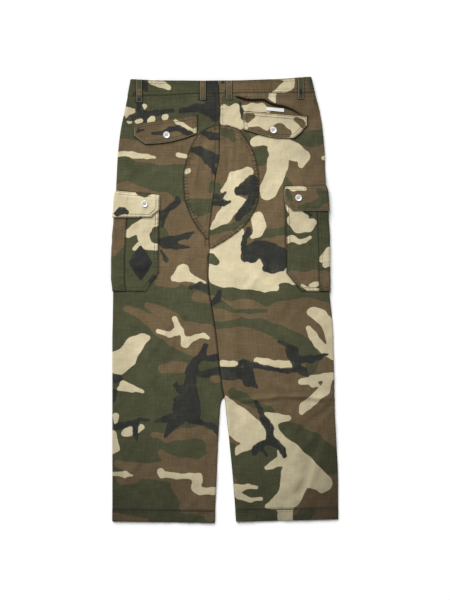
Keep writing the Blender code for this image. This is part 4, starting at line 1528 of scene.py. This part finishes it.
def pocket_rim(side):
    """Edge of half a cargo pocket as distances in from the outseam's turn and heights."""
    pocket = POCKET[side]
    above_cut = pocket["low"] + POCKET_CHAMFER
    return np.array([
        (pocket_reach(side, pocket["body_top"]), pocket["body_top"]),
        (pocket_reach(side, above_cut), above_cut),
        (pocket_reach(side, pocket["low"]) - 0.8 * POCKET_CHAMFER, pocket["low"]),
        (-TURN_LENGTH, pocket["low"]),
    ])


def flap_rim(side):
    """Edge of half a cargo flap, in the same two measures, before its top is sloped."""
    pocket = POCKET[side]
    above_cut = pocket["flap_low"] + FLAP_CHAMFER
    low_reach = pocket_reach(side, pocket["flap_low"]) + 1
    return np.array([
        (-TURN_LENGTH, pocket["top"]),
        (pocket_reach(side, pocket["top"]) + 1, pocket["top"]),
        (pocket_reach(side, above_cut) + 1, above_cut),
        (low_reach - 0.9 * FLAP_CHAMFER, pocket["flap_low"]),
        (-TURN_LENGTH, pocket["flap_low"]),
    ])


def pocket_outline(side):
    """Where the pocket and its flap meet the back panel, in x and y."""
    pocket = POCKET[side]
    rim = pocket_rim(side)[1:]
    inward = np.concatenate([[0.0], flap_rim(side)[1:3, 0], rim[:, 0]])
    beside_flap = [pocket["top"], pocket["top"] - pocket["slope"], pocket["flap_low"] + 20]
    y = np.concatenate([beside_flap, rim[:, 1]])
    return np.stack([outer_edge(side, y) - side * (TURN_REACH + inward), y], -1)


def pocket_out(side, inward, rows):
    """How far a cargo pocket's cloth stands off the leg: rolled rim, gathers, a soft fullness, and
    a middle raised between two pleats."""
    edge, run, share = sewn_edge(pocket_rim(side), inward, rows)
    full = smooth((edge - 2) / 30) * (0.9 + 0.7 * noise(inward * side, rows, 36, 41))
    sag = 0.5 * noise(inward * side + 0.7 * rows, rows, 15, 42) * smooth(edge / 15)
    past_pleat = POCKET[side]["pleat"] - inward
    raised = np.where(past_pleat > 0, rolled(past_pleat, 1.1, 1.6), 0.0)
    sewn = LAY_GAP + 0.15 + rolled(edge, CLOTH) + gathers(edge, run, share, 0.35, 6.0, 10)
    return sewn + full + sag + raised


def flap_out(side, inward, rows):
    """How far a cargo flap's inner face stands off the leg."""
    pocket = POCKET[side]
    share = np.clip((pocket["top"] - rows) / (pocket["top"] - pocket["flap_low"]), 0, 1)
    over = smooth((pocket["top"] - rows) / 14)
    past_pleat = pocket["pleat"] - inward
    flat = LAY_GAP + 0.15 + CLOTH + 0.9 + 1.1 * (past_pleat > 0) * rolled(past_pleat, 1, 9)
    wave = (0.9 + 0.7 * noise(inward * side, rows, 30, 43)) * share**2
    return LAY_GAP + over * (flat + wave)


def round_columns(reach, pleat):
    """Distances round the side fold, alike on both faces, close together at the turn, at the pleat
    and at the edge."""
    turn = TURN_LENGTH * np.linspace(0, 1, 5)[:-1] - TURN_LENGTH
    by_pleat = pleat + np.array([-5, -2.2, -1.1, -0.3, 0.3, 1.2, 3.5])
    close = np.concatenate([[0, 3, 7], by_pleat])
    far = reach - NEAR_EDGE[::-1]
    start = close[-1] + 3
    middle = start + (far[..., :1] - start) * np.linspace(0, 1, int(60 / 3.2))[:-1]
    half = np.concatenate([turn + 0 * reach, close + 0 * reach, middle, far], axis=-1) + TURN_LENGTH
    return np.concatenate([-half[..., :0:-1], half], axis=-1)


def build_cargo_pocket(side):
    """The pocket round the outseam, with two rows at its edge and one along each pleat."""
    pocket = POCKET[side]
    rows = (pocket["body_top"] - spread(pocket["body_top"] - pocket["low"], 3.2))[:, None]
    cut = 0.8 * np.clip(pocket["low"] + POCKET_CHAMFER - rows, 0, POCKET_CHAMFER)
    around = round_columns(pocket_reach(side, rows) - cut, pocket["pleat"])
    inward = abs(around) - TURN_LENGTH
    rows = rows + 0 * around
    outer = wrap_points(side, around, rows, pocket_out(side, inward, rows))
    inner = wrap_points(side, around, rows, LAY_GAP + 0 * around)
    edge, run, share = sewn_edge(pocket_rim(side), inward, rows)
    past_pleat = pocket["pleat"] - inward
    fold = np.where(past_pleat > 0, past_pleat, 60.0) + 0.4
    # At 0.88 the finish paints a near-black shade along the pocket's rim, not a highlight.
    pucker = 0.88 * np.where(fold < edge, 1, puckering(edge, share))
    run = np.where(fold < edge, rows, run)
    name = side_name(side)
    fields = print_fields(PRINT[f"cargo_pocket_{name}"], outer[..., 0], outer[..., 1])
    middle = print_fields(PRINT[f"cargo_middle_{name}"], outer[..., 0], outer[..., 1])
    fields = {key: np.where(past_pleat > -0.1, middle[key], fields[key]) for key in fields}
    # Painted shade (depth) along the pleat's fold and beside the flap's edge.
    depth = 0.8 * bell(past_pleat + 0.7, 1.2)
    under_flap = line_distance(flap_rim(side)[1:], inward, rows)[0]
    depth = np.maximum(depth, 0.9 * bell(under_flap, 2.6))
    pleat = pocket["pleat"] - FIRST_ROW
    lines = two_rows(pocket_rim(side))
    lines.append(np.array([(pleat, pocket["body_top"] - 2), (pleat, pocket["low"] + 2)]))

    def stitched(u, v):
        """How far a stitch stands off the leg."""
        return pocket_out(side, u, v) + STITCH_LIFT

    lots = [stitch_points(lines, leg_surface(side, face, stitched), up=face) for face in (1, -1)]
    rests_on = [f"back_panel_{name}", f"front_panel_{name}"]
    edge = np.minimum(edge, fold)
    sewn_piece(f"cargo_pocket_{name}", outer, inner, fields, edge, run, (around, rows), rests_on, lots,
               pucker, depth)


def squeezed(out, room):
    """A piece under the leg is pressed into the room there: r (1 - e^(-out / r)), never past it."""
    room = np.maximum(room - 0.1, 0.3)
    return room * (1 - np.exp(-out / room))


def leg_surface(side, face, out):
    """The function from a distance in from the outseam and a height to points on a leg's face."""

    def surface(inward, rows):
        x = outer_edge(side, rows) - side * (TURN_REACH + inward)
        y = true_height(rows, x)
        if face > 0:
            return on_back(side, x, y, out(inward, rows))
        low = lower_face(side, x, y)
        return np.stack([x, y, low - squeezed(out(inward, rows), low)], -1)

    return surface


def build_cargo_flap(side):
    """The flap over the pocket's mouth, with cut corners and a button on each face."""
    pocket = POCKET[side]
    depth = pocket["top"] - pocket["flap_low"]
    rows = (pocket["top"] - spread(depth, 2.8))[:, None]
    cut = 0.9 * np.clip(pocket["flap_low"] + FLAP_CHAMFER - rows, 0, FLAP_CHAMFER)
    around = round_columns(pocket_reach(side, rows) + 1 - cut, pocket["pleat"])
    inward = abs(around) - TURN_LENGTH
    rows = rows + 0 * around

    def drop(u, v):
        """How far the sloping top edge carries a place down: more inwards, less lower down."""
        return pocket["slope"] * u / pocket["reach"] * (v - pocket["flap_low"]) / depth

    def outside(u, v):
        """How far the outer face stands off the leg."""
        edge, run, share = sewn_edge(flap_rim(side), u, v)
        rounded = flap_out(side, u, v) + 0.2 + rolled(edge, FLAP_CLOTH, 1.6)
        return rounded + gathers(edge, run, share, 0.28, 6.5, 8)

    level = rows - drop(np.clip(inward, 0, 200), rows)
    outer = wrap_points(side, around, rows, outside(inward, rows), lambda x: level)
    inner = wrap_points(side, around, rows, flap_out(side, inward, rows), lambda x: level)
    edge, run, share = sewn_edge(flap_rim(side), inward, rows)

    def sloped(face):
        """The function from a distance in and a height to points on the flap, as it slopes."""
        below = leg_surface(side, face, lambda u, v: outside(u, v) + STITCH_LIFT)
        return lambda u, v: below(u, v) - np.stack([0 * u, drop(u, v), 0 * u], -1)

    rows_in = two_rows(flap_rim(side))
    lines = [line[1:-1] for line in rows_in]
    lines += [np.array([line[3], (1.0, line[4][1])]) for line in rows_in]
    lines += [np.array([(1.0, line[0][1]), line[1]]) for line in rows_in]
    lots = [stitch_points(lines, sloped(face), up=face) for face in (1, -1)]
    name = side_name(side)
    # Less pucker by the top edge keeps the paler wear and painted highlight to the free edges.
    pucker = puckering(edge, share) * (0.7 - 0.2 * bell(pocket["top"] - rows, 6))
    sewn_piece(f"cargo_flap_{name}", outer, inner, PRINT[f"cargo_flap_{name}"], edge, run,
               (around, level), [f"cargo_pocket_{name}"], lots, pucker)
    reach, height = CARGO_BUTTON[side]
    x = outer_edge(side, height) - side * reach
    place = (np.array([reach - TURN_REACH]), np.array([height]))
    lift = outside(*place)[0] + 0.15
    top = upper_face(side, np.array([x]), np.array([height]))[0] + lift
    build_button(f"cargo_button_{name}_back", x, height, top, BUTTON_HEIGHT, 1)
    low = lower_face(side, np.array([x]), np.array([height]))[0]
    base = low - squeezed(lift, low) - FLAT_BUTTON_HEIGHT
    build_button(f"cargo_button_{name}_front", x, height, max(base, 0.05), FLAT_BUTTON_HEIGHT, -1)


def wrap_points(side, around, rows, out, lift=None):
    """Points on a leg's skin at a distance round it from the outseam, positive on the back."""
    far = np.abs(around)
    turn = np.clip(far / TURN_LENGTH, 0, 1) * math.pi / 2
    flat_x = outer_edge(side, rows) - side * (TURN_REACH + np.maximum(far - TURN_LENGTH, 0))
    y = true_height(rows, flat_x) if lift is None else lift(flat_x)
    half = thickness(side, flat_x, y) / 2
    x = flat_x + side * (TURN_REACH + out) * np.cos(turn)
    low = lower_face(side, flat_x, y)
    out = np.where(around < 0, squeezed(out, low), out)
    z = low + half + np.sign(around) * (half + out) * np.sin(turn)
    return np.stack([x, y + 0 * z, z], axis=-1)


# Waist


def build_waistband(side):
    """One half, from the centre back round the side to the centre front."""
    width = flat_width(side, BAND_MIDDLE)
    share = spread(BAND_DEPTH, 4.0)[:, None] / BAND_DEPTH
    nominal = BAND_NOMINAL + share * (BAND_TOP_NOMINAL - BAND_NOMINAL)
    full = flat_width(side, nominal) - TURN_REACH - SEAM_GAP / 2 + TURN_LENGTH
    back = np.concatenate([TURN_LENGTH * np.linspace(0, 1, 5)[1:], np.linspace(8, width, 76)])
    back = back / back[-1] * full
    front = back[:, ::4]
    around = np.concatenate([-front[:, ::-1], 0 * full, back], axis=1)
    share = share + 0 * around

    def height(x):
        """A share of the way from the band's seam to its top."""
        seam = band_seam(x) + SEAM_GAP
        return seam + share * (band_top(x) - seam)

    edge = np.minimum(share, 1 - share) * BAND_DEPTH
    out = BAND_OUT + 0.3 - BAND_CLOTH + rolled(edge + 0.1, BAND_CLOTH - 0.3, 1.5)
    out = out + gathers(edge, around, 1.0, 0.28, 6.5, 9) * (around > 0)
    nominal = nominal + 0 * around
    outer = wrap_points(side, around, nominal, out, height)
    inner = wrap_points(side, around, nominal, BAND_OUT - BAND_CLOTH + 0 * around, height)
    centre_away = abs(outer[..., 0] - inner_edge(side, nominal))
    # Painted shade (depth) in the centre seam, along the band's lower seam and beside the belt loops.
    depth = 0.7 * bell(centre_away, 1.3)
    depth = np.maximum(depth, 0.55 * bell(share * BAND_DEPTH, 0.9))
    depth = np.maximum(depth, painted_loop_shade(outer[..., 0], outer[..., 1]) * (around > 0))
    start = outer_edge(side, BAND_MIDDLE) - side * 5
    x = np.linspace(start, inner_edge(side, BAND_MIDDLE) + side, 40)
    levels = (band_seam(x) + SEAM_GAP + FIRST_ROW, band_top(x) - FIRST_ROW)
    lines = [np.stack([x, level], -1) for level in levels]
    lots = [stitch_points(lines, back_surface(side, BAND_OUT + 0.3))]
    name = side_name(side)
    rests_on = [f"back_panel_{name}", f"front_panel_{name}"]
    sewn_piece(f"waistband_{name}", outer, inner, PRINT[f"band_{name}"], edge, around,
               (around, outer[..., 1]), rests_on, lots, 0.6, depth)


def build_belt_loop(name, centre, face):
    """A narrow doubled strip over the band: sewn flat at both ends, arched between."""
    side = -1 if centre < inner_edge(1, BAND_NOMINAL) else 1
    across = (spread(LOOP_WIDTH, 4.0) - LOOP_WIDTH / 2)[None, :]
    top = band_top(centre) - 0.3
    seam = band_seam(centre)
    low = seam - LOOP_DROP
    y = low + spread(top - low, 3.0)[:, None]
    x = centre + across + 0 * y
    y = y + 0 * x

    def hang(u, v):
        """How far the strip's inner face stands off the leg."""
        share = np.clip((v - low) / (top - low), 0, 1)
        arch = 1.5 * np.sin(math.pi * share) ** 0.8 if face > 0 else 0.0
        return BAND_OUT * smooth((v - seam + 3) / 4) + LAY_GAP + 0.35 + arch

    def placed(u, v, out):
        """Points moved out of the back, or out of the front, where there is less room."""
        if face > 0:
            return on_back(side, u, v, out)
        return np.stack([u, v, lower_face(side, u, v) - out * 0.55], -1)

    def from_edge(u, v):
        """Distance in from the strip's nearest edge."""
        return np.minimum(LOOP_WIDTH / 2 - abs(u - centre), np.minimum(v - low, top - v))

    def surface(u, v, lift=STITCH_LIFT):
        """Points on the outer face, lifted."""
        edge = from_edge(u, v)
        doubled = rolled(edge, 1.3, 1.1) - 0.15 * bell(edge - FIRST_ROW, 0.8)
        return placed(u, v, hang(u, v) + 0.2 + doubled + lift)

    inside = LOOP_WIDTH / 2 - FIRST_ROW
    sides = (centre - inside, centre + inside)
    lines = [np.array([(at, low + 2), (at, top - 2)]) for at in sides]
    levels = (low + 2.2, low + 3.2, low + 4.2, top - 2.2, top - 3.2)
    tacks = [np.array([(centre - 5, level), (centre + 5, level)]) for level in levels]
    lots = [stitch_points(lines, surface, up=face), stitch_points(tacks, surface, 2.4, face)]
    design = PRINT.get(f"loop_{name}", PRINT["loop_left_centre"])
    edge = np.maximum(from_edge(x, y), 0)
    # At 0.7 the finish gives the strip's edges paler wear and a painted highlight.
    sewn_piece(f"belt_loop_{name}", surface(x, y, 0.0), placed(x, y, hang(x, y)), design, edge, y,
               (x, y), [f"waistband_{side_name(side)}"], lots, 0.7)


def build_fly():
    """A strip inside the front, behind the place where its panels meet."""
    rows = np.linspace(FLY["top"], FLY["low"], 40)[:, None]
    centre = inner_edge(1, rows)
    x = centre + FLY["half_width"] * np.linspace(-1, 1, 13)
    y = true_height(rows, x)
    z = lower_face(-1, x, y) + 1.2 + FLY["gap"]
    outer = np.stack([x, y, z], -1)
    inner = np.stack([x, y, z + 1.1], -1)
    design = scattered(7, (-60, 300), (40, 490))
    edge = FLY["half_width"] - abs(x - centre)
    sewn_piece("fly_placket", outer, inner, design, edge, y, (x - centre, y), ["front_panel_left"],
               [], 0.4)


# Tag, leather and buttons


def build_tag():
    """A plain white ribbon tag, tucked under the lip of the pocket mouth."""
    left, right = TAG["x"]
    low, top = TAG["y"]
    x = left + spread(right - left, 2.0)[None, :]
    y = low + spread(top - low, 2.0)[:, None]
    x = x + 0 * y
    y = y + 0 * x - TAG["slant"] * (x - TAG["pivot"])
    edge = np.minimum(np.minimum(x - left, right - x), 3.0)
    curl = TAG["gap"] + 0.35 * np.sin((x - left) / 6.5) * smooth((462 - y) / 8)
    outer = on_back(1, x, y, curl + 0.15 + rolled(edge, TAG["cloth"], 0.8))
    piece = wall("ribbon_tag", outer, on_back(1, x, y, curl), {})
    finish_piece(piece, TAG_FINISH, "blank_tag")


def lozenge_half(level):
    """Half the lozenge's width at a share of its half height: its sides bow out a little."""
    tip = LEATHER["half_tip"]
    return tip + (LEATHER["half_width"] - tip) * (1 - abs(level) ** 1.2)


def build_leather():
    """A plain black leather lozenge, rounded at its corners, sewn on close to its edge."""
    centre_x, centre_y = LEATHER["centre"]
    tall = LEATHER["half_height"]
    level = (spread(2 * tall, 2.4) / tall - 1)[:, None]
    half = lozenge_half(level)
    x = centre_x - half + spread(2 * half, 2.4)
    y = centre_y + tall * level + 0 * x
    steps = np.linspace(-1, 1, 61)
    right = np.stack([centre_x + lozenge_half(steps), centre_y + tall * steps], -1)
    left = np.stack([centre_x - lozenge_half(steps), centre_y + tall * steps], -1)[::-1]
    outline = np.concatenate([right, left, right[:1]])

    def under(u, v):
        """How far the leather's inner face stands off the leg, over the pocket."""
        return pocket_out(-1, u - outer_edge(-1, v) - TURN_REACH, v) + 0.2

    def surface(u, v, lift=STITCH_LIFT):
        """Points on the outer face, lifted."""
        edge, _ = line_distance(outline, u, v)
        sewn = 0.3 * bell(edge - LEATHER["row"], 0.8)
        return on_back(-1, u, v, under(u, v) + 0.2 + rolled(edge, LEATHER["thick"], 1.0) - sewn + lift)

    piece = wall("leather_lozenge", surface(x, y, 0.0), on_back(-1, x, y, under(x, y)), {})
    finish_piece(piece, LEATHER_FINISH, "leather_patch")
    row = inset(outline, -LEATHER["row"])
    stitches = stitch_mesh("stitches_leather", [stitch_points([row], surface, 3.6)])
    finish_piece(stitches, BLACK_THREAD_FINISH, "leather_patch")
    area_of(np.stack([x, y, 0 * x], -1))


BUTTON_PROFILE = np.array([
    (0.0, 0.0), (0.6, 0.0), (0.86, 0.10), (0.97, 0.32), (1.0, 0.58), (0.985, 0.80), (0.94, 0.94),
    (0.88, 1.0), (0.81, 0.99), (0.76, 0.90), (0.72, 0.80), (0.68, 0.76), (0.34, BUTTON_FLOOR),
    (0.0, BUTTON_FLOOR),
])
BUTTON_TURNS = 40
# The holes are not cut: a thin dark disc of painted shade stands for each.
HOLE_AWAY = 2.1
HOLE_RADIUS = 1.1
HOLE_THICK = 0.06
HOLE_SIDES = 12


def turned(profile, centre, sides):
    """Points and faces of a profile of (radius, height) carried round an upright line."""
    angle = np.arange(sides) * 2 * math.pi / sides
    radius = np.maximum(profile[:, :1], 1e-3)
    x = centre[0] + radius * np.cos(angle)
    y = centre[1] + radius * np.sin(angle)
    points = np.stack([x, y, centre[2] + profile[:, 1:] + 0 * x], -1).reshape(-1, 3)
    index = np.arange(len(points)).reshape(len(profile), sides)
    after = np.roll(index, -1, axis=1)
    faces = np.stack([index[:-1], after[:-1], after[1:], index[1:]], -1).reshape(-1, 4)
    return points, faces


def build_button(node, x, y, base, height, facing):
    """A turned metal button, facing up or down, with crossed thread, and four thin dark discs of
    painted shade where its holes would be."""
    profile = BUTTON_PROFILE * (BUTTON_RADIUS, height)
    if facing < 0:
        profile = (profile * (1, -1) + (0, height))[::-1]
    points, faces = turned(profile, (x, y, base), BUTTON_TURNS)
    piece = mesh_from(f"turned_{node}", points, faces)
    finish_piece(piece, METAL_FINISH, node)
    sunk = base + (BUTTON_FLOOR if facing > 0 else 1 - BUTTON_FLOOR) * height
    # Painted shade for the holes: four thin dark discs on the hollow of the face.
    hole = np.array([(0.0, 0.0), (HOLE_RADIUS, 0.0), (HOLE_RADIUS, HOLE_THICK), (0.0, HOLE_THICK)])
    level = sunk if facing > 0 else sunk - HOLE_THICK
    places = [(x + i * HOLE_AWAY, y + j * HOLE_AWAY, level) for i in (-1, 1) for j in (-1, 1)]
    discs = [turned(hole, place, HOLE_SIDES) for place in places]
    each = len(discs[0][0])
    faces = np.concatenate([disc[1] + i * each for i, disc in enumerate(discs)])
    painted_hole_shade = mesh_from(f"holes_{node}", np.concatenate([disc[0] for disc in discs]), faces)
    finish_piece(painted_hole_shade, BLACK_THREAD_FINISH, node)

    def surface(u, v):
        """Points just off the hollow of the button's face."""
        return np.stack([u, v, 0 * u + sunk + 0.35 * facing], -1)

    reach = HOLE_AWAY + 0.3
    cross = [np.array([(x - reach, y - reach * s), (x + reach, y + reach * s)]) for s in (1, -1)]
    thread = stitch_mesh(f"thread_{node}", [stitch_points(cross, surface, 5.6, facing)])
    finish_piece(thread, THREAD_FINISH, node)


for side in (-1, 1):
    build_panel(side, 1)
    build_panel(side, -1)
    build_seat_patch(side)
    build_back_flap(side)
    build_cargo_pocket(side)
    build_cargo_flap(side)
    build_waistband(side)
for name, centre in BACK_LOOPS.items():
    build_belt_loop(name, centre, 1)
for name, centre in FRONT_LOOPS.items():
    build_belt_loop(name, centre, -1)
build_fly()
build_tag()
build_leather()
build_button("waist_button", WAIST_BUTTON[0], WAIST_BUTTON[1], 0.1, FLAT_BUTTON_HEIGHT, -1)


# Floor, light and camera


def build_stage():
    """A pale floor, a broad soft light over the waist end, a wide fill, and a camera overhead."""
    size = 6.0
    corners = np.array([(-size, -size, 0), (size, -size, 0), (size, size, 0), (-size, size, 0)]) / MM
    floor = mesh_from("floor", corners, np.array([[0, 1, 2, 3]]), 0)
    floor.data.materials.append(floor_finish())
    lamp = bpy.data.lights.new("key_light", "SUN")
    lamp.energy = 3.4
    lamp.angle = 0.8
    key = bpy.data.objects.new("key_light", lamp)
    key.rotation_euler = Vector((0.45, -0.85, -0.9)).to_track_quat("-Z", "Y").to_euler()
    bpy.context.scene.collection.objects.link(key)
    world = bpy.data.worlds.new("studio")
    bpy.context.scene.world = world
    world.use_nodes = True
    background = world.node_tree.nodes["Background"]
    background.inputs["Color"].default_value = (1, 1, 1, 1)
    background.inputs["Strength"].default_value = 0.36
    camera = bpy.data.cameras.new("camera")
    camera.lens = 85
    camera.sensor_width = 36
    holder = bpy.data.objects.new("camera", camera)
    holder.location = (0, 0, 3.41)
    bpy.context.scene.collection.objects.link(holder)
    bpy.context.scene.camera = holder
    bpy.context.scene.view_settings.view_transform = "Standard"


def floor_finish():
    """Plain pale paper, hardly clouded."""
    n = Nodes("floor_paper")
    n.set(Base_Color=n.mix(n.noise(3.0), (0.93, 0.93, 0.93, 1), (0.95, 0.95, 0.95, 1)))
    n.set(Roughness=0.9)
    return n.material


build_stage()
